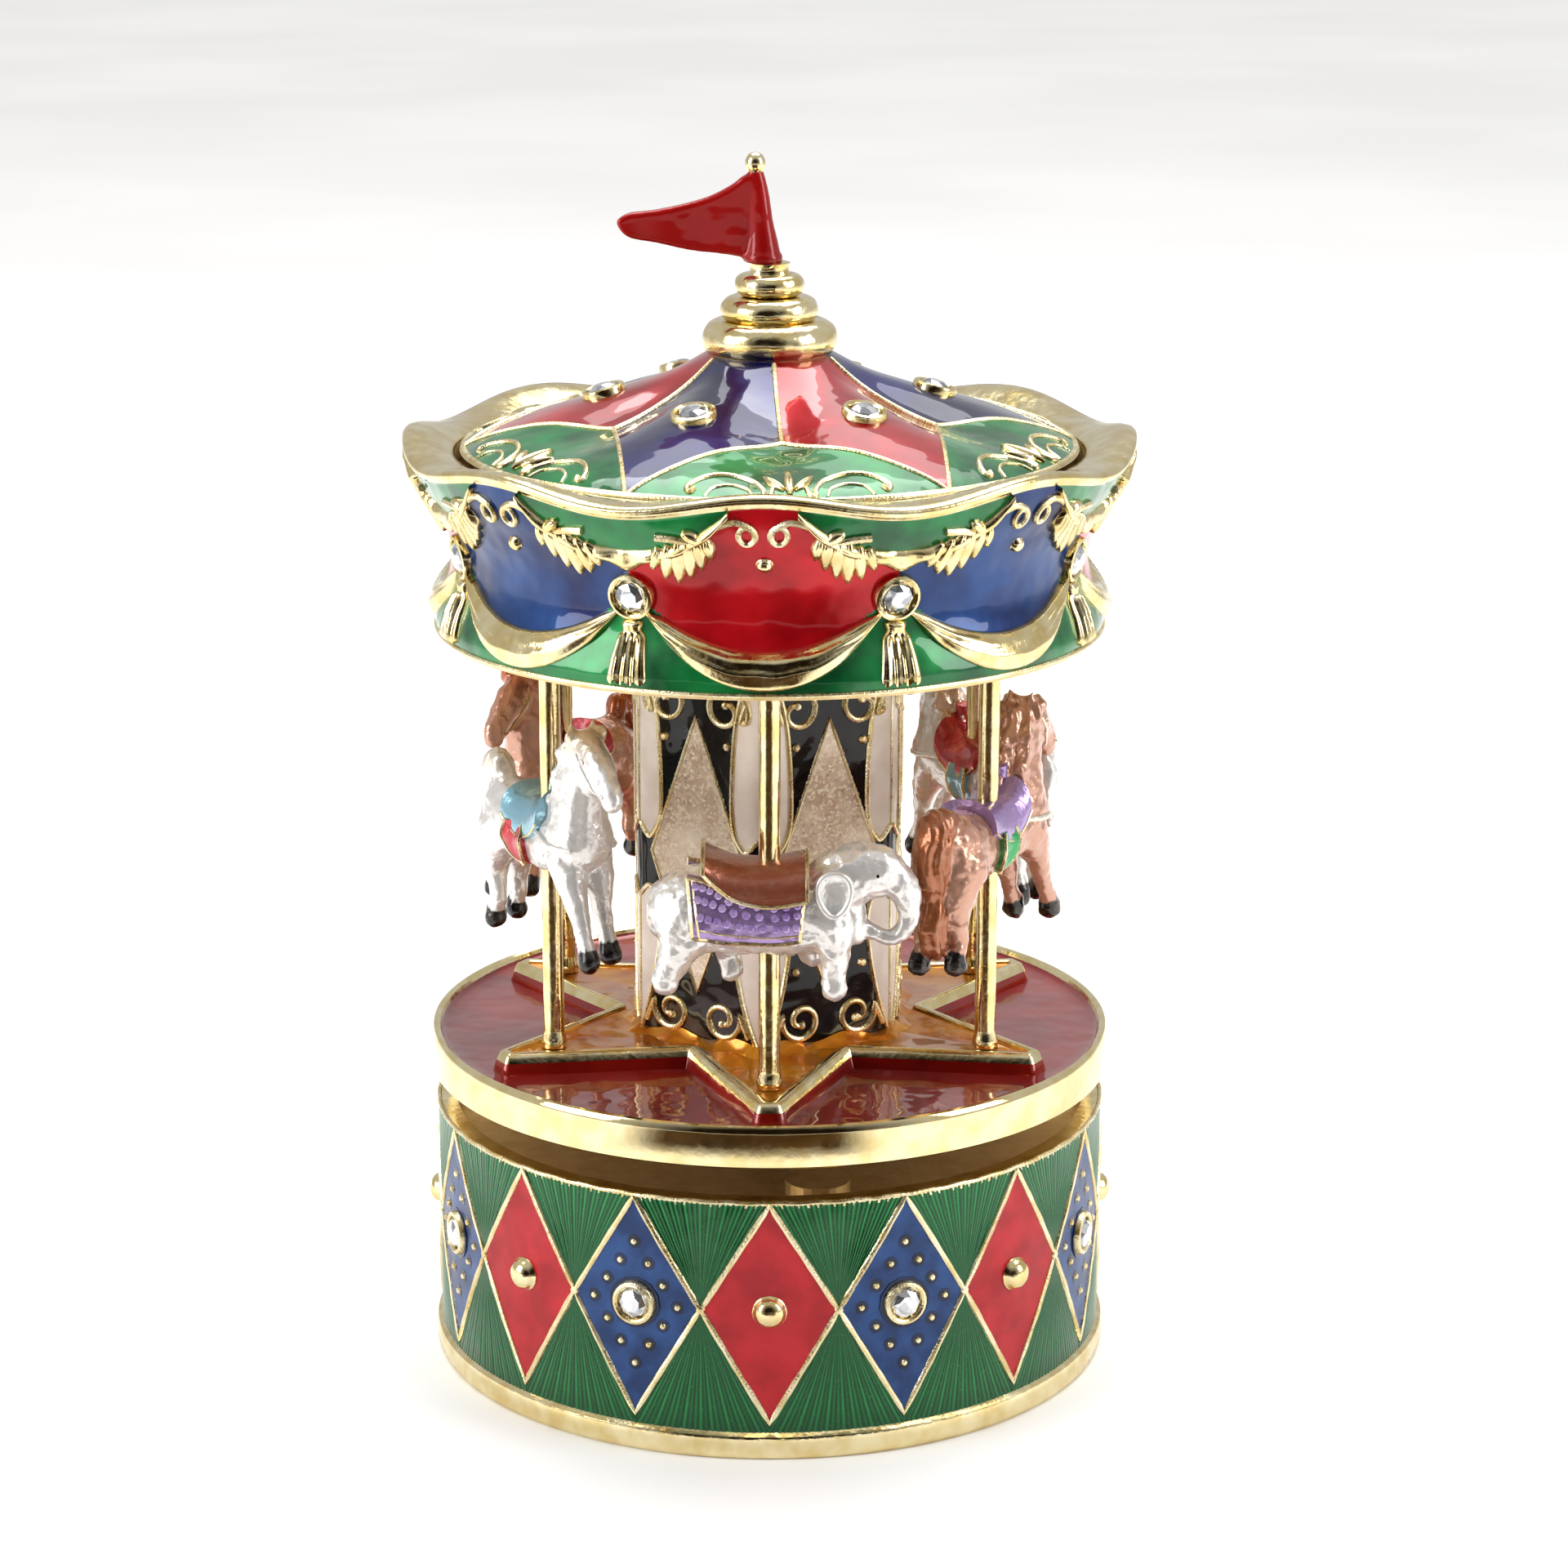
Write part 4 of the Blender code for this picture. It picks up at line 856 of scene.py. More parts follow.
def wallPoint(angle, z, lift=0.0):
    # a point on the valance, lifted square to its wall
    angle, z, lift = np.broadcast_arrays(np.asarray(angle, float), np.asarray(z, float), np.asarray(lift, float))
    slope = (wallRadius(z + 0.3) - wallRadius(z - 0.3)) / 0.6
    length = np.sqrt(1 + slope ** 2)
    return polar(angle + valance["turn"], np.minimum(wallRadius(z) + lift / length, valance["reach"]),
                 z - lift * slope / length)


def lipEdge(angle):
    return valance["lip"] + valance["wave"] * np.cos(np.radians(8 * np.asarray(angle)))


def crescentEdge(c):
    return 89.9 + 3.9 * np.abs(c / 16.3) ** 2.3


def swagTop(a):
    return 80.6 + 3.0 * (a / 17.6) ** 2


def swagFoot(a):
    return 76.95 + 4.4 * (a / 17.0) ** 2


# (foot, tip, width) of the leaves that hang at each side of a panel: degrees from its middle and height
leafSprays = [((8.6, 92.0), (7.9, 89.6), 1.3), ((9.9, 91.9), (9.6, 88.5), 1.6), ((11.4, 91.6), (11.6, 87.6), 1.8),
              ((13.0, 91.3), (13.7, 87.0), 1.9), ((14.7, 90.9), (15.9, 87.4), 1.7), ((16.3, 90.6), (18.0, 88.3), 1.4),
              ((12.2, 92.4), (9.0, 91.4), 1.2)]


def makeValance():
    columns = 720
    a = np.arange(columns) * 360 / columns
    heights = np.concatenate([np.linspace(76.3, 94.0, 58)])
    rows = [wallPoint(a, np.full(columns, z) + (lipEdge(a) - 94.1) * smoothStep(88, 94, z)) for z in heights]
    wave = lipEdge(a) - 94.1
    for radius, z in ((36.45, 94.35), (36.62, 94.6), (36.6, 94.95), (36.3, 95.2), (35.6, 95.32), (34.2, 95.2),
                      (32.6, 94.7), (31.7, 94.25), (31.45, 93.9), (31.4, 93.3), (31.4, 92.4)):
        inward = smoothStep(31.0, 35.8, radius)
        rows.append(polar(a + valance["turn"], radius, z + wave * inward))
    for radius, z in ((33.6, 92.3), (32.2, 89.0), (31.0, 86.0), (30.5, 83.0), (31.2, 80.5), (32.0, 78.0),
                      (32.0, 76.2), (32.8, 76.0), (33.4, 76.05)):
        rows.append(polar(a + valance["turn"], radius, z))
    rows = np.stack(rows)
    local = (a + 180 / columns + 22.5) % 45 - 22.5
    panel = np.floor((a + 180 / columns + 22.5) / 45).astype(int) % 8
    slots = np.zeros((len(rows), columns), int)
    for r in range(len(heights) - 1):
        z = (rows[r, :, 2] + rows[r + 1, :, 2]) / 2
        c = 22.5 - np.abs(local)
        green = (z > crescentEdge(c)) | (z < swagFoot(local) + 0.5) | ((c < 3.2) & (z < 84.5))
        green = green | ((np.abs(local) > 17) & (z < swagTop(local)))
        slots[r] = np.where(green, 1, np.where(panel % 2 == 0, 2, 3))
        slots[r][z < 76.75] = 0
    slots[len(heights) + 8:] = 4
    build = newBuild()
    addFaces(build, rows, gridFaces(len(rows), columns, True, True), slots.ravel().tolist())
    shell = makePiece("valance_shell", build, [goldPlate, enamelGreen, enamelRed, enamelBlue, goldSatin], sharp=50)
    fitPiece(shell, "carousel", "enamel_green", "canopy_valance")

    raised = newBuild()
    paths, stones, domes = [], [], []
    for k in range(valance["panels"]):
        middle = 45 * k
        addSwag(raised, middle)
        crystalAt = middle + 22.5
        addGarland(raised, crystalAt)
        addTassel(raised, crystalAt)
        for side in (-1, 1):
            for base, tip, width in leafSprays:
                addLeaf(raised, middle + side * base[0], base[1], middle + side * tip[0], tip[1], width, 0.8)
            line = [(16.4, 91.7), (13.5, 91.6), (10.6, 91.3), (9.1, 91.9), (6.8, 93.0), (4.2, 93.5), (2.6, 93.2)]
            curl = [(2.4 + 1.25 * math.cos(t), 92.15 + 0.85 * math.sin(t))
                    for t in np.radians(np.arange(90, 470, 40))]
            line = splinePoints(line + curl[1:], 4)
            thick = 0.42 * (1 - 0.35 * np.linspace(0, 1, len(line)))
            paths.append((wallPoint(middle + side * line[:, 0], line[:, 1], 0.1), thick, False))
        out = wallPoint(middle, 89.0, 1) - wallPoint(middle, 89.0, 0)
        domes.append((wallPoint(middle + 0.2, 89.0, -0.02), out))
        z = valance["crystalZ"]
        stones.append((wallPoint(crystalAt, z, 0.25), wallPoint(crystalAt, z, 1) - wallPoint(crystalAt, z, 0)))
    a = np.arange(360)
    paths.append((wallPoint(a, np.full(360, 76.55), 0.0), 0.26, True))
    carved = makePiece("valance_swags", raised, [goldPlate], sharp=70)
    fitPiece(carved, "carousel", "gold_plate")
    meshes = [wireMesh("valance_wire", paths, goldWire),
              settingMesh("valance_domes", domes, domeShape, 0.75, goldPlate),
              settingMesh("valance_bezels", stones, bezelShape, valance["stone"], goldPlate)]
    fitPiece(joinMeshes("valance_goldwork", meshes), "carousel", "gold_plate")
    fitPiece(joinMeshes("valance_stones", [settingMesh("valance_stones", stones, stoneShape, valance["stone"],
                                                       crystal)]), "carousel", "stone")


def addSwag(build, middle):
    a = np.linspace(-20.6, 20.6, 64)[None, :]
    t = np.linspace(0, 1, 17)[:, None]
    foot, top = swagFoot(a), swagTop(a)
    pinch = 1 - smoothStep(16.5, 20.6, np.abs(a))
    centre = (foot + top) / 2
    foot, top = centre + (foot - centre) * (0.35 + 0.65 * pinch), centre + (top - centre) * (0.35 + 0.65 * pinch)
    z = foot + (top - foot) * t
    folds = 0.5 + 0.5 * np.sin(2 * math.pi * (t * 3.2 + 0.035 * np.abs(a)) + 0.4 * np.sin(a * 0.9))
    nicks = np.sin(a * 5.2 + 9 * t) * np.sin(math.pi * t) * smoothStep(3, 12, np.abs(a))
    body = np.sin(math.pi * t) ** 0.5
    lift = valance["swagHigh"] * body * (0.86 + 0.14 * folds + 0.035 * nicks) * (0.6 + 0.4 * pinch)
    addPatch(build, wallPoint(middle + a + 0 * t, z, lift), wallPoint(middle + a + 0 * t, z, -0.5))


def addGarland(build, centre):
    c = np.linspace(-17.4, 17.4, 90)[None, :]
    t = np.linspace(0, 1, 9)[:, None]
    thick = 1.25 * (1 - 0.4 * smoothStep(14.0, 17.4, np.abs(c))) + 0.9 * np.exp(-(c / 2.6) ** 2)
    bead = 0.75 + 0.25 * np.cos(np.abs(c) * 1.3 + t * 2.0)
    z = crescentEdge(c) + 0.12 - thick * (1 - t)
    lift = (0.35 + 0.4 * bead) * np.sin(math.pi * t) ** 0.6 + 0.05
    addPatch(build, wallPoint(centre + c + 0 * t, z, lift), wallPoint(centre + c + 0 * t, z, -0.5))


def addTassel(build, centre):
    t = np.linspace(0, 1, 22)[:, None]
    w = np.linspace(-1, 1, 25)[None, :]
    half = 1.9 + 1.6 * t ** 0.7 - 0.6 * np.exp(-((t - 0.16) / 0.07) ** 2)
    z = 82.9 - 5.6 * t + 0.25 * t * np.cos(w * math.pi * 4)
    ribs = 0.5 + 0.5 * np.cos(w * math.pi * 4)
    lift = (0.4 + 0.42 * ribs * smoothStep(0.2, 0.35, t)) * (1 - w ** 6)
    lift = lift + 0.35 * np.exp(-((t - 0.1) / 0.08) ** 2) * (1 - w ** 4)
    addPatch(build, wallPoint(centre + w * half, z, lift), wallPoint(centre + w * half, z, -0.5))


def addLeaf(build, a0, z0, a1, z1, width, height, place=None):
    place = place or wallPoint
    t = np.linspace(0, 1, 14)[:, None]
    w = np.linspace(-1, 1, 9)[None, :]
    scale = math.radians(1) * 33.5
    along = np.array([(a1 - a0) * scale, z1 - z0])
    along /= np.linalg.norm(along)
    half = width / 2 * (np.sin(math.pi * np.clip(t * 0.94 + 0.06, 0, 1)) ** 0.7 + 0.02)
    a = a0 + (a1 - a0) * t + half * w * -along[1] / scale
    z = z0 + (z1 - z0) * t + half * w * along[0]
    lift = height * (1 - np.abs(w) ** 2.2) * (0.45 + 0.55 * np.sin(math.pi * t) ** 0.5)
    lift = lift - 0.18 * np.exp(-(w / 0.22) ** 2) + 0.06
    addPatch(build, place(a, z, lift), place(a + 0 * lift, z, -0.5))


makeValance()
print("valance made")


# roof

roof = {"turn": 3.7, "valley": 1.6, "node": 18.2, "stoneRadius": 16.5, "stone": 1.7, "wire": 0.24}
ridgeProfile = splinePoints([(6.0, 103.8), (6.7, 103.4), (9.8, 101.8), (14.0, 100.4), (21.0, 98.4), (25.0, 97.0),
                             (28.7, 95.5), (30.9, 94.15)], 6)


def roofHeight(angle, radius):
    ridge = np.interp(radius, ridgeProfile[:, 0], ridgeProfile[:, 1])
    share = np.clip((np.asarray(radius, float) - 6.7) / 24.1, 0, 1)
    depth = roof["valley"] * np.sin(math.pi * share ** 0.9) ** 1.2
    return ridge - depth * ((1 + np.cos(np.radians(6 * (np.asarray(angle))))) / 2) ** 1.4


def roofPoint(angle, radius, lift=0.0):
    angle, radius, lift = np.broadcast_arrays(np.asarray(angle, float), np.asarray(radius, float),
                                              np.asarray(lift, float))
    slope = (roofHeight(angle, radius + 0.3) - roofHeight(angle, radius - 0.3)) / 0.6
    length = np.sqrt(1 + slope ** 2)
    return polar(angle + roof["turn"], radius - lift * slope / length, roofHeight(angle, radius) + lift / length)


def roofFlat(x, y, valley, lift=0.0):
    # x across and y out along a valley, in millimetres seen from above
    return roofPoint(np.degrees(np.arctan2(x, y)) + valley, np.hypot(x, y), lift)


def makeRoof():
    columns = 600
    a = np.arange(columns) * 360 / columns
    radii = np.concatenate([[6.2], np.linspace(6.8, 30.4, 74)])
    rows = [roofPoint(a, r) for r in radii]
    rim = [(30.75, 94.42), (30.95, 94.2), (30.85, 93.9), (30.5, 93.6), (29.5, 93.5), (24.0, 94.5), (15.0, 97.6),
           (8.0, 100.4), (6.2, 102.0)]
    rows += [polar(a + roof["turn"], r, z) for r, z in rim]
    slots = np.full((len(rows), columns), 3)
    folded = (a + 180 / columns + 30) % 60 - 30
    sector = np.floor((a + 180 / columns) / 60).astype(int) % 6
    for i in range(len(radii) - 1):
        r = (radii[i] + radii[i + 1]) / 2
        x, y = r * np.sin(np.radians(folded)), r * np.cos(np.radians(folded))
        green = y > roof["node"] + 0.5425 * np.abs(x)
        slots[i] = np.where(green, 2, sector % 2)
    slots[len(radii) - 1:] = 3
    build = newBuild()
    addFaces(build, np.stack(rows), gridFaces(len(rows), columns, True, True), slots.ravel().tolist())
    shell = makePiece("roof_shell", build, [enamelRoofRed, enamelNavy, enamelGreen, goldPlate], sharp=60)
    fitPiece(shell, "carousel", "enamel_navy", "canopy_roof")

    paths, stones = [], []
    raised = newBuild()
    for k in range(6):
        valley = 60 * k
        y = np.linspace(6.7, roof["node"], 30)
        paths.append((roofFlat(0 * y, y, valley, 0.0), roof["wire"], False))
        for side in (-1, 1):
            x = np.linspace(0, 15.0, 36)
            paths.append((roofFlat(side * x, roof["node"] + 0.5425 * x, valley, 0.0), roof["wire"], False))
            arch = splinePoints([(2.2, 28.7), (2.5, 29.7), (3.2, 29.9), (3.4, 28.9), (5.0, 27.3), (8.2, 26.5),
                                 (10.8, 27.0), (12.6, 28.2), (13.2, 29.2), (12.6, 29.6), (12.2, 29.1)], 5)
            angle = arch[:, 0] * 1.45
            paths.append((roofPoint(valley + side * angle, np.minimum(arch[:, 1], 30.2), 0.02), 0.27, False))
            small = splinePoints([(4.6, 30.1), (5.4, 28.9), (7.6, 28.3), (9.8, 28.9), (10.6, 30.1)], 5)
            paths.append((roofPoint(valley + side * small[:, 0] * 1.45, small[:, 1], 0.02), 0.17, False))
            addLeaf(raised, valley + side * 1.0, 28.9, valley + side * 5.2, 26.6, 1.0, 0.5, roofPoint)
        addLeaf(raised, valley, 29.7, valley, 25.1, 1.3, 0.6, roofPoint)
        ridge = valley + 30
        point = roofPoint(ridge, roof["stoneRadius"], 0.1)
        stones.append((point, roofPoint(ridge, roof["stoneRadius"], 1.1) - point))
    a = np.arange(360)
    paths.append((roofPoint(a, np.full(360, 30.55), 0.0), 0.34, True))
    fitPiece(makePiece("roof_leaves", raised, [goldPlate], sharp=70), "carousel", "gold_plate")
    meshes = [wireMesh("roof_wire", paths, goldWire),
              settingMesh("roof_bezels", stones, bezelShape, roof["stone"], goldPlate)]
    fitPiece(joinMeshes("roof_goldwork", meshes), "carousel", "gold_plate")
    fitPiece(joinMeshes("roof_stones", [settingMesh("roof_stones", stones, stoneShape, roof["stone"], crystal)]),
             "carousel", "stone")


makeRoof()
print("roof made")


# finial and pennant

finial = {"rings": [(6.74, 105.05, 1.85), (4.86, 107.85, 1.35), (3.48, 110.3, 1.15)]}
pennant = [(-1.0, 120.9), (-2.45, 121.1), (-3.58, 120.25), (-5.92, 119.0), (-8.83, 118.15), (-11.73, 117.65),
           (-13.75, 117.5), (-15.0, 116.8), (-14.85, 116.0), (-13.78, 115.05), (-11.21, 114.5), (-7.91, 113.7),
           (-5.01, 113.4), (-3.23, 113.15), (-1.0, 112.9)]


def makeFinial():
    profile = [(0.0, 102.4), (5.6, 102.4)]
    for radius, z, half in finial["rings"]:
        for t in np.radians(np.arange(-90, 91, 15)):
            profile.append((radius - half * 0.95 + half * 0.95 * math.cos(t), z + half * math.sin(t)))
    profile += [(2.15, 111.35), (1.95, 111.7), (2.0, 112.2), (2.1, 112.5), (1.7, 112.62), (0.0, 112.62)]
    build = revolvedBuild(profile, 96)
    points = build["points"][0]
    for p in points:
        wave = noise.noise(Vector(p) * 1.1) * 0.09 + noise.noise(Vector(p) * 0.45) * 0.08
        reach = math.hypot(p[0], p[1])
        if reach > 1:
            p[:2] *= 1 + wave / reach
    fitPiece(makePiece("finial_rings", build, [goldPlate], sharp=60), "carousel", "gold_plate", "finial")


def blobMesh(spheres, voxel, smooth, extra=()):
    # spheres: (x, y, z, radius, flat); a voxel skin joins them into one casting, still in millimetres
    shape = bmesh.new()
    for x, y, z, radius, flat in spheres:
        made = bmesh.ops.create_icosphere(shape, subdivisions=2, radius=1.0)["verts"]
        for v in made:
            v.co = Vector((x + v.co.x * radius, y + v.co.y * radius * flat, z + v.co.z * radius))
    for points, faces in extra:
        made = [shape.verts.new(p) for p in points]
        for face in faces:
            shape.faces.new([made[i] for i in face])
    mesh = bpy.data.meshes.new("blob")
    shape.to_mesh(mesh)
    shape.free()
    carrier = bpy.data.objects.new("blob", mesh)
    bpy.context.scene.collection.objects.link(carrier)
    skin = carrier.modifiers.new("skin", "REMESH")
    skin.mode = "VOXEL"
    skin.voxel_size = voxel
    soft = carrier.modifiers.new("soft", "SMOOTH")
    soft.factor, soft.iterations = 0.5, smooth
    bpy.context.view_layer.update()
    result = bpy.data.meshes.new_from_object(carrier.evaluated_get(bpy.context.evaluated_depsgraph_get()))
    bpy.data.objects.remove(carrier)
    points = np.empty(len(result.vertices) * 3)
    result.vertices.foreach_get("co", points)
    faces = [list(p.vertices) for p in result.polygons]
    bpy.data.meshes.remove(result)
    return points.reshape(-1, 3), faces


def makePennant():
    outline = splinePoints(pennant, 3)
    count = len(outline)
    plate = [(x, y, z) for y in (-0.75, 0.75) for x, z in outline]
    faces = [list(range(count)), list(range(count, 2 * count))[::-1]]
    faces += [[i, i + count, (i + 1) % count + count, (i + 1) % count] for i in range(count)]
    staff = [(-0.65, 0, 113.6, 1.75, 1), (-0.7, 0, 114.8, 1.5, 1), (-0.85, 0, 116.2, 1.32, 1),
             (-0.95, 0, 117.6, 1.22, 1), (-1.05, 0, 119.0, 1.1, 1), (-1.2, 0, 120.2, 0.98, 1),
             (-1.35, 0, 121.2, 0.85, 1)]
    chain = splinePoints([s[:4] for s in staff], 6)
    spheres = [(x, y, z, r, 1) for x, y, z, r in chain]
    foot = [(-0.65 + 2.0 * math.cos(t), 2.0 * math.sin(t), z) for z in (112.55, 113.3)
            for t in np.radians(np.arange(0, 360, 20))]
    footFaces = [list(range(18))[::-1], list(range(18, 36))]
    footFaces += [[i, (i + 1) % 18, (i + 1) % 18 + 18, i + 18] for i in range(18)]
    points, faces = blobMesh(spheres, 0.2, 10, [(plate, faces), (foot, footFaces)])
    sway = np.clip((-points[:, 0] - 1.5) / 13, 0, 1)
    points[:, 1] += 0.9 * np.sin(sway * math.pi * 1.4) * sway
    build = newBuild()
    addFaces(build, points, faces)
    fitPiece(makePiece("pennant", build, [enamelFlag], sharp=80), "carousel", "enamel_red", "pennant_flag")
    profile = [(0.0, 120.75), (0.62, 120.8), (0.72, 121.0), (0.6, 121.25), (0.85, 121.55), (1.02, 122.1),
               (0.98, 122.6), (0.75, 123.05), (0.42, 123.3), (0.0, 123.39)]
    build = revolvedBuild(profile, 24)
    build["points"][0] += np.array([-1.4, 0, 0])
    fitPiece(makePiece("pennant_bead", build, [goldPlate], sharp=60), "carousel", "gold_plate", "flag_bead")


makeFinial()
makePennant()
print("finial and pennant made")


# rides

paints = {"white": "#E4E0DC", "gold": "#C9A766", "tan": "#D8BDA6", "brown": "#C4937C", "bronze": "#9C5A34",
          "hoof": "#1B1817", "mane": "#8A4A26", "saddle": "#93513A", "purple": "#8A6AA8", "lilac": "#A88CC0",
          "sky": "#86B4C6", "rose": "#B8343E", "leaf": "#2E9A55", "cream": "#E8DFCB", "pale": "#E9E6E3",
          "orange": "#B4561E"}

# each form is (paint, flatness, points of (forward, outward, up, radius));
# on a horse, a form off the middle is made on both sides
elephantForms = [
    ("white", 0.86, [(-8.0, 0, 53.2, 4.1), (-5.6, 0, 53.4, 4.6), (-2.0, 0, 53.2, 4.5), (1.6, 0, 53.0, 4.4),
                     (4.4, 0, 53.0, 4.1)]),
    ("white", 0.8, [(-3.5, 0, 51.2, 2.6), (0.8, 0, 50.9, 1.9)]),
    ("white", 0.85, [(5.2, 0, 54.8, 3.4), (8.2, 0, 56.9, 3.1), (10.2, 0, 57.1, 2.8)]),
    ("white", 0.9, [(10.4, 0, 57.2, 2.5), (12.2, 0, 56.2, 1.95), (13.3, 0, 54.6, 1.45), (13.55, 0, 52.9, 1.18),
                    (13.1, 0, 51.4, 1.02), (12.0, 0, 50.55, 0.9), (10.7, 0, 50.6, 0.82), (9.6, 0, 51.2, 0.78),
                    (8.7, 0, 51.9, 0.7)]),
    ("white", 0.9, [(7.2, 0, 53.0, 2.3), (7.9, 0, 51.2, 1.6)]),
    ("white", 0.9, [(5.9, 1.5, 52.2, 2.5), (6.3, 1.8, 49.6, 1.7), (6.25, 1.8, 47.4, 1.22), (6.25, 1.8, 46.0, 1.35),
                    (6.3, 1.8, 45.7, 1.3)]),
    ("white", 0.9, [(-7.7, 1.3, 52.6, 3.2), (-8.8, 1.7, 49.8, 2.1), (-9.7, 1.8, 47.6, 1.4), (-10.1, 1.8, 46.6, 1.4),
                    (-10.2, 1.8, 46.4, 1.3)]),
    ("white", 0.9, [(-4.6, -1.4, 51.2, 2.1), (-4.1, -1.7, 48.8, 1.35), (-3.8, -1.7, 47.2, 1.2),
                    (-3.7, -1.7, 46.6, 1.25)]),
    ("white", 0.9, [(4.8, -1.4, 51.2, 2.0), (3.9, -1.7, 49.0, 1.4), (4.2, -1.7, 48.0, 1.15)]),
    ("white", 1.0, [(-10.9, 0.0, 55.0, 0.35), (-11.2, 0.9, 53.0, 0.32), (-10.6, 1.9, 51.4, 0.3),
                    (-9.9, 2.4, 50.6, 0.4)]),
]

horseForms = [
    ("body", 0.92, [(-8.0, 0, 57.6, 3.5), (-5.0, 0, 57.3, 3.4), (-1.0, 0, 56.9, 3.1), (3.0, 0, 57.3, 3.2),
                    (6.0, 0, 58.4, 3.4)]),
    ("body", 0.85, [(5.8, 0, 59.6, 3.3), (6.2, 0, 62.2, 2.8), (6.9, 0, 64.8, 2.3), (7.5, 0, 66.8, 2.0)]),
    ("body", 0.8, [(7.6, 0, 67.6, 2.0), (9.4, 0, 66.9, 1.9), (11.4, 0, 65.4, 1.5), (12.7, 0, 64.2, 1.3),
                   (13.0, 0, 63.8, 1.25)]),
    ("body", 0.75, [(8.4, 0, 65.8, 1.9), (9.6, 0, 65.2, 1.5)]),
    ("body", 0.7, [(6.9, 0.9, 68.6, 0.7), (6.9, 1.15, 69.7, 0.45), (6.9, 1.2, 70.4, 0.2)]),
    ("body", 0.9, [(5.8, 1.3, 56.6, 2.3), (7.6, 1.6, 53.8, 1.45), (8.9, 1.6, 51.4, 1.05), (9.9, 1.6, 49.4, 0.85),
                   (10.5, 1.6, 48.2, 0.95)]),
    ("hoof", 0.95, [(10.6, 1.6, 47.9, 1.0), (10.9, 1.6, 47.1, 1.15)]),
    ("body", 0.9, [(-8.2, 1.3, 56.0, 2.8), (-9.6, 1.6, 53.0, 1.75), (-9.3, 1.6, 50.6, 1.1), (-8.9, 1.6, 48.8, 0.9),
                   (-9.5, 1.6, 47.6, 0.9)]),
    ("hoof", 0.95, [(-9.7, 1.6, 47.2, 1.0), (-9.6, 1.6, 46.5, 1.15)]),
]
archedTail = [("tail", 0.9, [(-9.8, 0, 60.2, 1.1), (-10.9, 0, 61.9, 1.25), (-12.3, 0, 61.9, 1.25),
                             (-13.2, 0, 60.0, 1.15), (-13.4, 0, 57.8, 1.05), (-13.5, 0, 56.0, 0.85),
                             (-14.0, 0, 55.0, 0.5)])]
hangingTail = [("tail", 0.95, [(-9.4, 0, 60.4, 1.5), (-10.9, 0, 60.6, 1.7), (-11.9, 0, 58.4, 1.9),
                               (-12.0, 0, 56.0, 1.6), (-11.4, 0, 53.8, 1.15), (-11.7, 0, 51.4, 1.5),
                               (-11.5, 0, 49.4, 1.35), (-11.0, 0, 48.3, 1.0)])]


def formSpheres(forms):
    out = []
    stout = 1.0 if forms is elephantForms else 1.1
    for index, (_, flat, points) in enumerate(forms):
        chain = splinePoints(points, 7)
        both = forms is not elephantForms and points[0][1] > 0.8
        for u, v, z, r in chain:
            r *= stout
            out.append((u, v, z, r, flat, index))
            if both:
                out.append((u - 1.6 * float(smoothStep(56, 49, z)), -v, z, r, flat, index))
    return out


def maneCurls(seed, spread):
    # curls of hair down the back of the neck
    dice = np.random.default_rng(seed)
    spine = splinePoints([(7.0, 0, 69.2), (5.3, 0, 67.6), (4.1, 0, 65.0), (3.2, 0, 62.6), (2.6, 0, 60.8)], 8)
    out = []
    for u, _, z in spine:
        for side in (-1, 0, 1):
            out.append((u + dice.uniform(-0.3, 0.5) + 0.7 * abs(side), side * (1.1 + dice.uniform(0, 0.7)),
                        z + dice.uniform(-0.4, 0.4),
                        dice.uniform(0.6, 0.95) * spread, 0.9))
    out += [(8.6 + i * 0.55, 0.5 * math.sin(i * 2.0), 68.9 - i * 0.5, 0.62 * spread, 0.9) for i in range(5)]
    return out


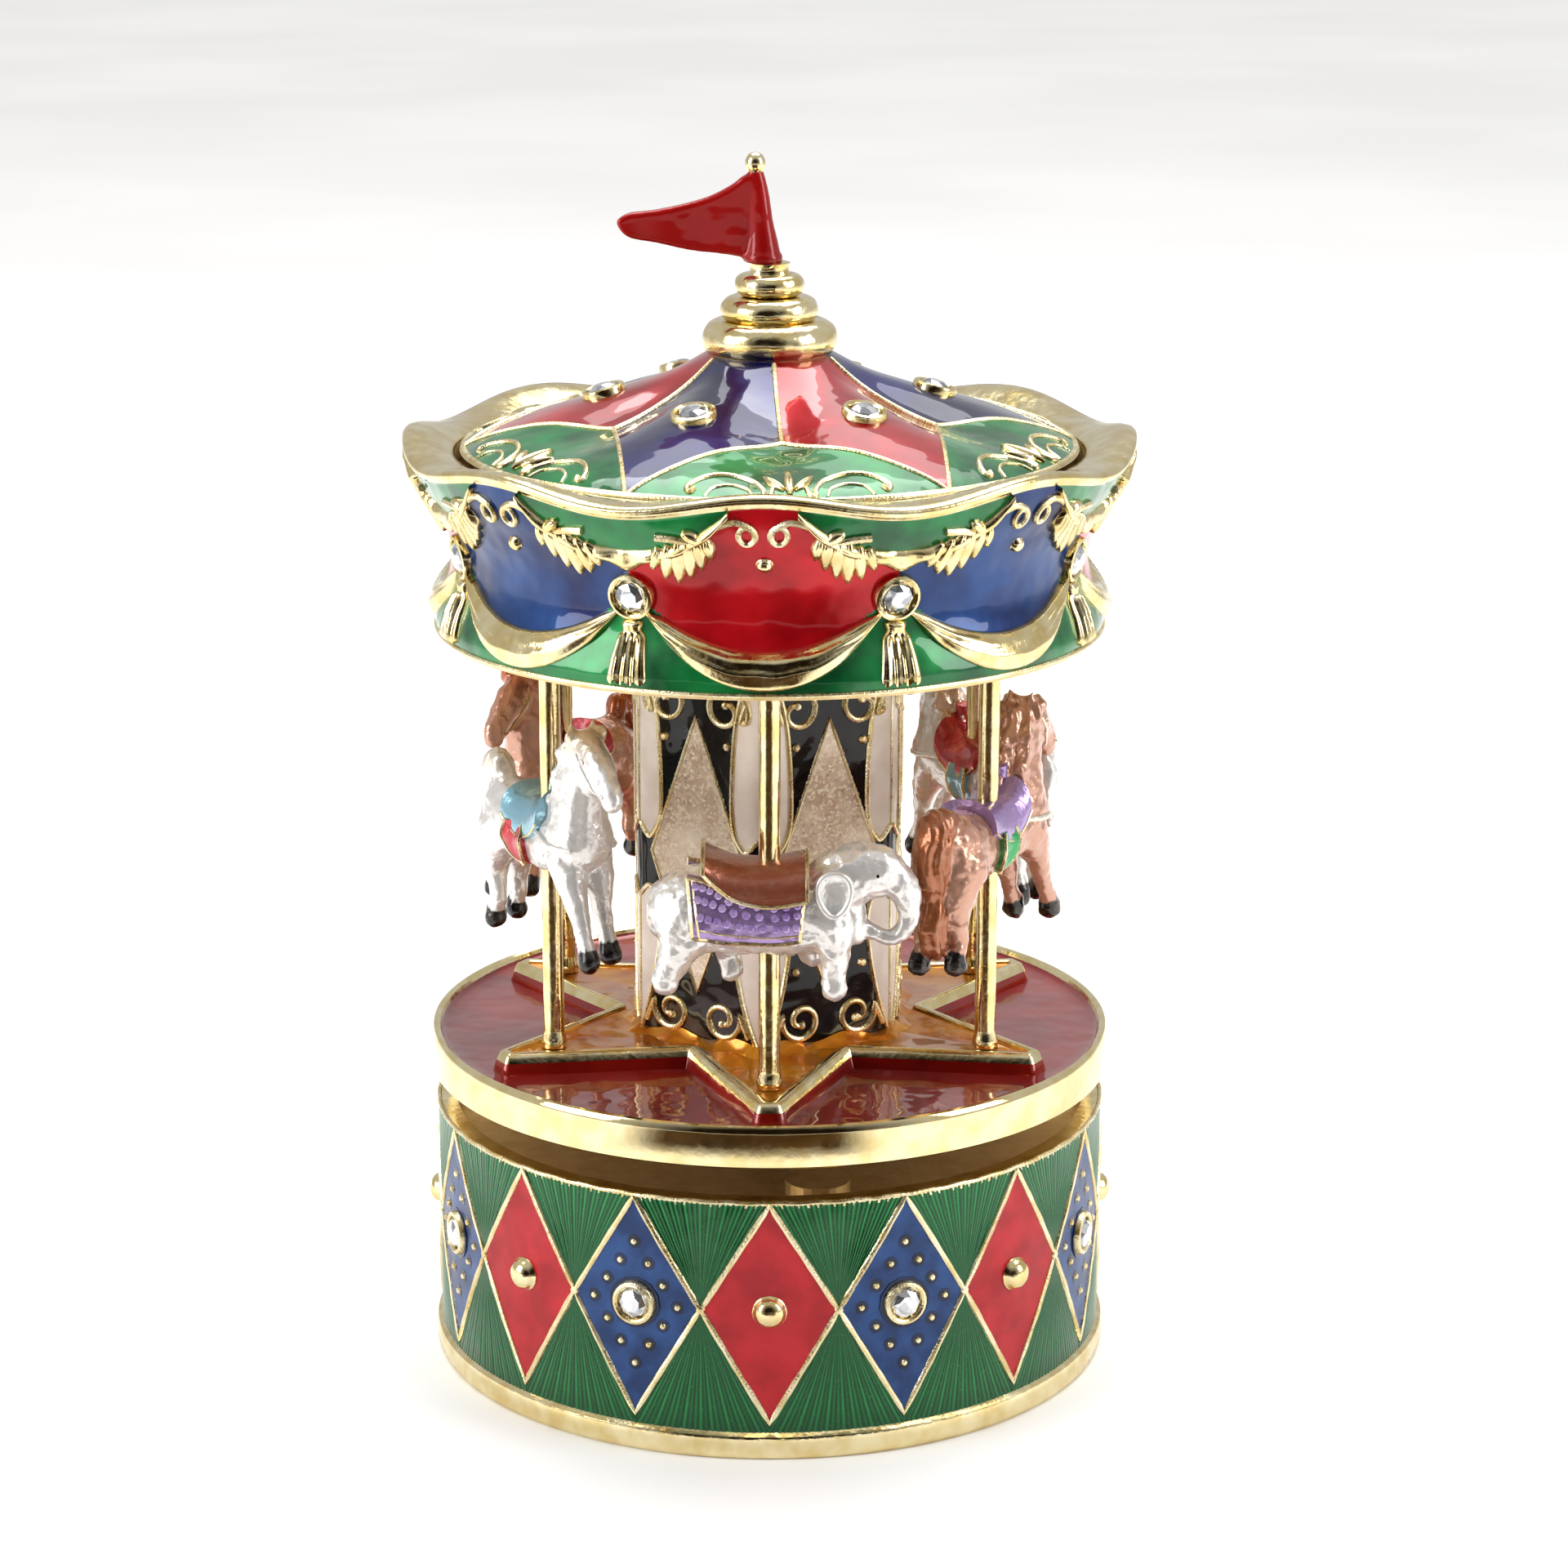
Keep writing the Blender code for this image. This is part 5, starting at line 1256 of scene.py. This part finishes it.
def makeRide(index, name, node, forms, colours, slot, saddleKind, crease, hair):
    spheres = formSpheres(forms)
    curls = maneCurls(index, hair) if hair else []
    points, faces = blobMesh([s[:5] for s in spheres] + curls, 0.26, 5)
    # colour by the nearest form
    centres = np.array([s[:3] for s in spheres] + [c[:3] for c in curls])
    radii = np.array([s[3] for s in spheres] + [c[3] for c in curls])
    owners = [forms[s[5]][0] for s in spheres] + ["mane"] * len(curls)
    names = sorted(set(owners))
    owner = np.array([names.index(o) for o in owners])
    nearest = np.empty(len(points), int)
    for start in range(0, len(points), 4000):
        block = points[start:start + 4000]
        nearest[start:start + 4000] = (np.linalg.norm(block[:, None] - centres[None], axis=2) - radii).argmin(1)
    tones = np.array([linearColour(paints[colours.get(n, n)]) for n in names])
    paint = tones[owner[nearest]].copy()
    if saddleKind != "howdah":
        tint = np.array(linearColour(paints[colours["tint"]]))
        share = smoothStep(66.0, 70.0, points[:, 2]) * smoothStep(4.0, 8.0, points[:, 0]) * 0.65
        share = np.maximum(share, 0.35 * smoothStep(60.6, 62.6, points[:, 2]) * (points[:, 0] < -9))
        share[owner[nearest] == names.index("hoof")] = 0
        paint = paint + (tint - paint) * share[:, None]
    # folds and hair cut into the casting
    normals = vertexNormals(points, faces)
    depth = np.array([noise.noise(Vector(p) * (1 / crease[0])) + 0.5 * noise.noise(Vector(p) * (2.3 / crease[0]))
                      for p in points])
    hairy = np.array([n in ("tail", "mane") for n in names])[owner[nearest]]
    strands = np.sin(points[:, 0] * 4.2 + 2.2 * np.sin(points[:, 2] * 0.9) + points[:, 1] * 3.0)
    points = points + normals * (crease[1] * depth + np.where(hairy, 0.13 * strands, 0))[:, None]
    # the skin in the ride's own axes, which the tack is laid over
    surface = BVHTree.FromPolygons([Vector(p) for p in points], faces)
    build = newBuild()
    addFaces(build, toWorld(points, index), faces)
    build["colours"] = {"paint": paint}
    fitPiece(makePiece(name, build, [pearl], sharp=80), "carousel", slot, node)
    if saddleKind == "howdah":
        dressElephant(index, name, surface)
    else:
        dressHorse(index, name, surface, colours, slot)


def vertexNormals(points, faces):
    corners = np.array([f if len(f) == 4 else [f[0], f[1], f[2], f[0]] for f in faces])
    a = points[corners[:, 2]] - points[corners[:, 0]]
    b = points[corners[:, 3]] - points[corners[:, 1]]
    flat = np.cross(a, b)
    normals = np.zeros_like(points)
    for k in range(4):
        np.add.at(normals, corners[:, k], flat)
    return normals / np.maximum(np.linalg.norm(normals, axis=1)[:, None], 1e-12)


def toWorld(points, index):
    centre, outward, forward = polesAt(index)
    points = np.asarray(points, float)
    return centre + points[..., :1] * forward + points[..., 1:2] * outward + points[..., 2:3] * np.array([0, 0, 1.0])


def drape(surface, u, z, side, lift):
    # the animal's skin seen square from one side, lifted a little
    u, z, lift = np.broadcast_arrays(np.asarray(u, float), np.asarray(z, float), np.asarray(lift, float))
    out = np.empty(u.shape + (3,))
    for spot in np.ndindex(u.shape):
        hit = surface.ray_cast(Vector((u[spot], 12 * side, z[spot])), Vector((0, -side, 0)))
        v = hit[0].y if hit[0] is not None else out[spot[:-1] + (spot[-1] - 1,)][1] if spot[-1] else 0.8 * side
        out[spot] = (u[spot], v + side * lift[spot], z[spot])
    return out


def paintPatch(build, paint, top, sunk, tone):
    before = build["count"]
    addPatch(build, top, sunk)
    paint.append(np.tile(linearColour(paints[tone]), (build["count"] - before, 1)))


def saddleShell(build, paint, index, tone, foot, crest, half, middle=0.0):
    # carried over the back: foot and crest are (forward, up) lines, half is the half width
    foot, crest = splinePoints(foot, 6), splinePoints(crest, 6)
    phi = np.radians(np.linspace(-12, 192, 27))[None, :]
    low, high = foot[:, 1][:, None], crest[:, 1][:, None]
    u = foot[:, 0][:, None] + 0 * phi
    v = middle + half * np.sign(np.cos(phi)) * np.abs(np.cos(phi)) ** 0.8
    z = low + (high - low) * np.where(np.sin(phi) > 0, np.abs(np.sin(phi)) ** 0.9, -0.35 * np.abs(np.sin(phi)))
    u, v, z = np.broadcast_arrays(u, v, z)
    top = np.stack([u, v, z], -1)
    core = np.stack([u, middle + (v - middle) * 0.55, low + (z - low) * 0.5 - 0.8], -1)
    paintPatch(build, paint, toWorld(top, index), toWorld(core, index), tone)
    return top


def dressElephant(index, name, surface):
    build, paint = newBuild(), []
    top = saddleShell(build, paint, index, "saddle",
                      [(-6.4, 58.0), (-5.3, 56.9), (-3.2, 55.4), (0.0, 54.8), (3.6, 55.3)],
                      [(-6.4, 59.7), (-5.3, 59.2), (-3.2, 58.5), (0.0, 58.4), (3.6, 59.0)], 4.35)
    wires = [(toWorld(top[:, 1], index), 0.2, False), (toWorld(top[:, -2], index), 0.2, False),
             (toWorld(top[0, 1:-1], index), 0.22, False), (toWorld(top[-1, 1:-1], index), 0.18, False)]
    studs, quilts = [], []
    for side in (-1, 1):
        t = np.linspace(0, 1, 46)[None, :]
        w = np.linspace(0, 1, 19)[:, None]
        upper = np.array([(-7.9, 57.4), (-6.2, 57.0), (-4.0, 55.6), (0.0, 54.9), (3.3, 55.2)])
        lower = np.array([(-7.4, 51.6), (-5.0, 51.0), (-2.0, 50.8), (0.6, 50.75), (2.9, 51.0)])
        share = np.linspace(0, 1, 5)
        a = np.stack([np.interp(t, share, upper[:, k]) for k in (0, 1)], -1)
        b = np.stack([np.interp(t, share, lower[:, k]) for k in (0, 1)], -1)
        uz = a + (b - a) * w[..., None]
        skin = drape(surface, uz[..., 0], uz[..., 1], side, 0.0)
        v = side * np.maximum(side * skin[..., 1], 3.05) + side * 0.42
        quilt = 0.35 + 0.4 * (w > 0.82) + 0 * t
        top = np.stack([uz[..., 0] + 0 * v, v, uz[..., 1] + 0 * v], -1)
        sunk = top.copy()
        sunk[..., 1] = side * 2.0
        before = build["count"]
        addPatch(build, toWorld(top, index), toWorld(sunk, index))
        quiltTone = 0.45 + 0.75 * quilt.ravel()[:, None]
        tone = np.array(linearColour(paints["lilac"]))[None] * quiltTone * [[1, 1, 1, 0]] + [[0, 0, 0, 1]]
        tone = np.vstack([tone, np.tile(linearColour(paints["purple"]), (build["count"] - before - len(tone), 1))])
        paint.append(tone)
        for column in range(10):
            for row in range(3):
                place = top[int(2 + row * 4.8), int(5 + column * 4.3)]
                quilts.append((toWorld(place, index), polesAt(index)[1] * side))
        border = np.concatenate([top[0], top[1:, -1], top[-1, -2::-1], top[-2:0:-1, 0]])
        wires.append((toWorld(border, index), 0.19, True))
        wires.append((toWorld(top[:, 3], index), 0.12, False))
        wires.append((toWorld(top[15, 3:], index), 0.1, False))
        # ear: a leaf with a raised rim, hanging from the side of the head
        turn = np.radians(np.linspace(0, 360, 41))[:-1]
        rimU = 6.2 + 1.95 * np.cos(turn) * (0.62 + 0.38 * (np.sin(turn) + 1) / 2)
        rimZ = 55.7 + 2.15 * np.sin(turn)
        grow = np.linspace(0.02, 1, 8)[:, None]
        earU, earZ = 6.2 + (rimU - 6.2) * grow, 55.7 + (rimZ - 55.7) * grow
        bowl = side * (3.35 + 0.35 * grow ** 3 - 0.12 * (earZ - 55.7) * 0.3)
        ear = np.stack([earU, bowl + 0 * earU, earZ], -1)
        back = ear.copy()
        back[..., 1] = side * 1.6
        earBuild = np.concatenate([ear, back[-1:], back[:1]])
        before = build["count"]
        addFaces(build, toWorld(earBuild, index), gridFaces(10, 40, True, True))
        paint.append(np.tile(linearColour(paints["pale"]), (build["count"] - before, 1)))
        rim = np.stack([rimU, side * (3.68 - 0.036 * (rimZ - 55.7)), rimZ], -1)
        eyeAt = np.array([10.3, side * 2.15, 57.2])
        before = build["count"]
        addTube(build, toWorld(rim, index), 0.3, True)
        addTube(build, toWorld(eyeAt + np.stack([0.42 * np.cos(turn), 0 * turn, 0.3 * np.sin(turn)], -1), index),
                0.12, True)
        paint.append(np.tile(linearColour(paints["pale"]), (build["count"] - before, 1)))
        studs.append((toWorld(eyeAt, index), polesAt(index)[1] * side))
    build["colours"] = {"paint": np.vstack(paint)}
    fitPiece(makePiece(name + "_dress", build, [pearl], sharp=60), "carousel", "pearl_purple")
    meshes = [wireMesh(name + "_trim", wires, goldWire, sides=6),
              settingMesh(name + "_eyes", studs, dotShape, 0.34, enamelBlack),
              settingMesh(name + "_quilt", quilts, dotShape, 0.46, lilacLustre)]
    fitPiece(joinMeshes(name + "_trim", meshes), "carousel", "gold_plate")


def addTube(build, line, radius, closed, sides=8):
    line = np.asarray(line, float)
    ahead = np.roll(line, -1, 0) - np.roll(line, 1, 0)
    if not closed:
        ahead[0], ahead[-1] = line[1] - line[0], line[-1] - line[-2]
    ahead /= np.linalg.norm(ahead, axis=1)[:, None]
    across = np.cross(ahead, [0.31, 0.52, 0.79])
    across /= np.linalg.norm(across, axis=1)[:, None]
    other = np.cross(ahead, across)
    turn = np.arange(sides) * 2 * math.pi / sides
    radius = np.broadcast_to(radius, len(line))[:, None, None]
    spoke = across[:, None] * np.cos(turn)[None, :, None] + other[:, None] * np.sin(turn)[None, :, None]
    ring = line[:, None] + radius * spoke
    faces = gridFaces(len(line), sides, closed, True)
    if not closed:
        faces += [list(range(sides)), [(len(line) - 1) * sides + i for i in range(sides)]]
    addFaces(build, ring, faces)


def dressHorse(index, name, surface, colours, slot):
    build, paint, wires = newBuild(), [], []
    top = saddleShell(build, paint, index, colours["saddle"],
                      [(-4.6, 59.0), (-3.0, 58.0), (-0.6, 57.4), (1.6, 58.2), (3.0, 59.6)],
                      [(-4.6, 61.9), (-3.0, 61.1), (-0.6, 60.9), (1.6, 61.6), (3.0, 63.0)], 3.35)
    wires += [(toWorld(top[:, 1], index), 0.13, False), (toWorld(top[:, -2], index), 0.13, False)]
    chain = [(2.4, 0.0, 62.6), (2.7, 0.0, 63.4), (2.6, 0.0, 63.9)]
    before = build["count"]
    addTube(build, toWorld(np.array(splinePoints(chain, 4)), index), 0.75, False, 10)
    paint.append(np.tile(linearColour(paints[colours["saddle"]]), (build["count"] - before, 1)))
    for side in (-1, 1):
        t = np.linspace(0, 1, 16)[:, None]
        w = np.linspace(-1, 1, 13)[None, :]
        half = 1.75 * np.sin(math.pi * (0.28 + 0.72 * t)) ** 0.75 + 0.05
        u, z = -1.7 + half * w, 58.6 - 4.6 * t + 0 * w
        skin = drape(surface, u, z, side, 0.0)
        puff = 0.5 - 0.3 * np.cos(w * math.pi * 1.2) * (t < 0.9) * 0.5
        v = side * np.maximum(side * skin[..., 1], 1.8) + side * puff
        pad = np.stack([u, v, z], -1)
        sunk = pad.copy()
        sunk[..., 1] = side * 1.2
        paintPatch(build, paint, toWorld(pad, index), toWorld(sunk, index), colours["pad"])
        wires.append((toWorld(np.concatenate([pad[:, 0], pad[::-1, -1]]), index), 0.16, False))
        strap = splinePoints([(1.5, 58.6), (4.0, 58.3), (6.6, 58.0), (8.6, 57.9)], 8)
        band = drape(surface, strap[:, 0], strap[:, 1], side, 0.06)
        before = build["count"]
        addTube(build, toWorld(band, index), 0.3, False)
        paint.append(np.tile(linearColour(paints[colours["strap"]]), (build["count"] - before, 1)))
        bridle = drape(surface, np.linspace(11.2, 8.6, 12), np.linspace(64.0, 67.6, 12), side, 0.02)
        before = build["count"]
        addTube(build, toWorld(bridle, index), 0.16, False)
        eye = drape(surface, np.array([9.6]), np.array([67.0]), side, 0.0)[0]
        turn = np.radians(np.arange(0, 360, 30))
        ring = eye + np.stack([0.4 * np.cos(turn), 0 * turn, 0.26 * np.sin(turn)], -1)
        addTube(build, toWorld(ring, index), 0.11, True)
        nostril = drape(surface, np.array([12.8]), np.array([64.2]), side, 0.0)[0]
        addTube(build, toWorld(nostril + np.stack([0.26 * np.cos(turn), 0 * turn, 0.18 * np.sin(turn)], -1), index),
                0.1, True)
        paint.append(np.tile(linearColour(paints[colours["strap"]]), (build["count"] - before, 1)))
    build["colours"] = {"paint": np.vstack(paint)}
    fitPiece(makePiece(name + "_tack", build, [pearl], sharp=60), "carousel", slot)
    fitPiece(joinMeshes(name + "_trim", [wireMesh(name + "_trim", wires, goldWire, sides=6)]), "carousel",
             "gold_plate")


white = {"body": "white", "tail": "white", "mane": "white", "tint": "gold", "saddle": "sky", "pad": "rose",
         "strap": "white"}
rides = [
    ("ride_elephant", "elephant", elephantForms, {}, "pearl_white", "howdah", (1.5, 0.22), 0),
    ("ride_horse_1", "horse_brown_right", horseForms + hangingTail, {
        "body": "brown", "tail": "bronze", "mane": "brown", "tint": "brown", "saddle": "lilac", "pad": "leaf",
        "strap": "cream"},
     "pearl_brown", "saddle", (1.4, 0.2), 1.0),
    ("ride_horse_2", "horse_white_rear", horseForms + archedTail,
     {**white, "tint": "tan", "mane": "tan", "saddle": "rose", "pad": "sky"}, "pearl_white", "saddle", (1.6, 0.14),
     0.85),
    ("ride_horse_3", "horse_tan_back", horseForms + hangingTail, {
        "body": "tan", "tail": "brown", "mane": "brown", "tint": "tan", "saddle": "leaf", "pad": "purple",
        "strap": "brown"},
     "pearl_tan", "saddle", (1.6, 0.14), 0.9),
    ("ride_horse_4", "horse_brown_left", horseForms + archedTail, {
        "body": "brown", "tail": "mane", "mane": "mane", "tint": "orange", "saddle": "rose", "pad": "orange",
        "strap": "gold"},
     "pearl_brown", "saddle", (1.5, 0.16), 0.95),
    ("ride_horse_5", "horse_white_left", horseForms + archedTail, white, "pearl_white", "saddle", (1.7, 0.13), 0.7),
]
for index, ride in enumerate(rides):
    makeRide(index, *ride)
print("rides made")


# plain finishes for the parts that keep their shape

finishes = [
    (goldSatin, ["bottom_cover", "inner_cover", "canopy_ceiling"]),
    (brassMachined, ["spindle_bush", "winding_key", "barrel_gear", "crown_wheel", "spring_barrel",
                     "barrel_lid", "pinned_cylinder", "cylinder_pinion", "cylinder_wheel", "air_brake_fan",
                     "turntable_gear"]),
    (steelGround, ["tuned_comb", "winding_arbor", "ratchet_wheel", "winding_click", "mainspring",
                   "governor_worm", "turntable_spindle", "tie_rod"]),
    (zincCast, ["movement_bedplate", "cylinder_bearing_left", "cylinder_bearing_right", "barrel_bridge",
                "governor_frame"]),
    (steelGround, [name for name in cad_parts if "screw" in name]),
]
for material, names in finishes:
    for name in names:
        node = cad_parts[name]
        node.data.materials.clear()
        node.data.materials.append(material)

for shape in (domeShape, dotShape, bezelShape, stoneShape, meniscusShape):
    bpy.data.objects.remove(shape)
print("frame parts finished")


# floor, light and camera

studio = {"floor": 6.0, "air": 0.6, "sun": 1.2, "top": 3.4, "left": 3.4, "right": 2.8}


def makeFloor():
    rings = [0.0, 0.05, 0.1, 0.3, 1.0, 3.0, studio["floor"]]
    angles = np.arange(64) * 360 / 64
    build = newBuild()
    addFaces(build, np.stack([polar(angles, r / metres, 0.0) for r in rings[1:]]),
             gridFaces(6, 64, False, True) + [list(range(64))])
    floor = makePiece("studio_floor", build, [floorFinish()], sharp=180)
    if floor.data.polygons[0].normal.z < 0:
        floor.data.flip_normals()


def addSoftbox(name, place, aim, width, height, power, colour="#FFFFFF"):
    light = bpy.data.lights.new(name, "AREA")
    light.shape, light.size, light.size_y, light.energy = "RECTANGLE", width, height, power
    light.color = linearColour(colour)[:3]
    lamp = bpy.data.objects.new(name, light)
    lamp.location = place
    lamp.rotation_euler = (Vector(aim) - Vector(place)).to_track_quat("-Z", "Y").to_euler()
    bpy.context.scene.collection.objects.link(lamp)


def makeRoom():
    # a white tent, open and dark on the side where the camera stands, so that metal and enamel have something to show
    world = bpy.data.worlds.new("studio_room")
    bpy.context.scene.world = world
    world.use_nodes = True
    tree = world.node_tree
    tree.nodes.clear()
    way = addNode(tree, "ShaderNodeTexCoord").outputs["Generated"]
    toCamera = addNode(tree, "ShaderNodeVectorMath", {0: way, 1: (0.0, -0.995, 0.1)}, operation="DOT_PRODUCT")
    dark = addNode(tree, "ShaderNodeMapRange", {"Value": toCamera.outputs["Value"], "From Min": 0.6, "From Max": 0.9})
    tone = mixColours(tree, dark.outputs[0], linearColour("#FFFFFF"), linearColour("#2A211A"))
    glow = addNode(tree, "ShaderNodeBackground", {"Color": tone, "Strength": studio["air"]})
    output = addNode(tree, "ShaderNodeOutputWorld")
    tree.links.new(glow.outputs[0], output.inputs["Surface"])


def makeDarkCard():
    # a dark card lies on the floor in front; only shiny surfaces see it
    angles = np.linspace(-48, 34, 33)
    radii = np.array([94.0, 98.0, 104.0, 120.0, 300.0, 900.0])
    top = np.stack([polar(angles, r, 1.0) for r in radii])
    fade = smoothStep(94, 110, radii)[:, None] * (smoothStep(-48, -30, angles) * smoothStep(34, 18, angles))[None]
    build = newBuild()
    addPatch(build, top, top - [0, 0, 0.5], 0, fade)
    card, tree, where = startMaterial("dark_card")
    dark = mixColours(tree, noiseField(tree, where, 60.0), linearColour("#33261A"), linearColour("#483623"))
    tone = mixColours(tree, shadeOf(tree), linearColour("#F4F3F1"), dark)
    finishMaterial(tree, addNode(tree, "ShaderNodeBsdfPrincipled",
                                 {"Base Color": tone, "Roughness": 0.9, "Specular IOR Level": 0.0}))
    piece = makePiece("dark_card", build, [card])
    piece.visible_camera = piece.visible_diffuse = piece.visible_shadow = piece.visible_transmission = False


makeFloor()
makeRoom()
makeDarkCard()
middle = (0.0, 0.0, 0.07)
addSoftbox("overhead_box", (0.0, 0.22, 0.72), middle, 0.6, 0.4, studio["top"])
addSoftbox("left_box", (-0.62, -0.28, 0.34), middle, 0.34, 0.5, studio["left"])
addSoftbox("right_box", (0.64, -0.22, 0.38), middle, 0.3, 0.5, studio["right"])
sun = bpy.data.lights.new("ceiling_silk", "SUN")
sun.energy, sun.angle = studio["sun"], math.radians(50)
silk = bpy.data.objects.new("ceiling_silk", sun)
silk.rotation_euler = Vector((0.1, 0.45, 1.0)).to_track_quat("Z", "Y").to_euler()
bpy.context.scene.collection.objects.link(silk)
bpy.context.scene.view_settings.view_transform = "Standard"

camera = bpy.data.cameras.new("camera")
camera.lens, camera.sensor_width, camera.shift_x, camera.shift_y = 93.62, 36.0, 0.00921, -0.00812
camera.clip_start, camera.clip_end = 0.01, 20.0
eye = bpy.data.objects.new("camera", camera)
eye.location = (0.0, -0.4028, 0.16717)
eye.rotation_euler = (math.radians(75.156), 0.0, 0.0)
bpy.context.scene.collection.objects.link(eye)
bpy.context.scene.camera = eye
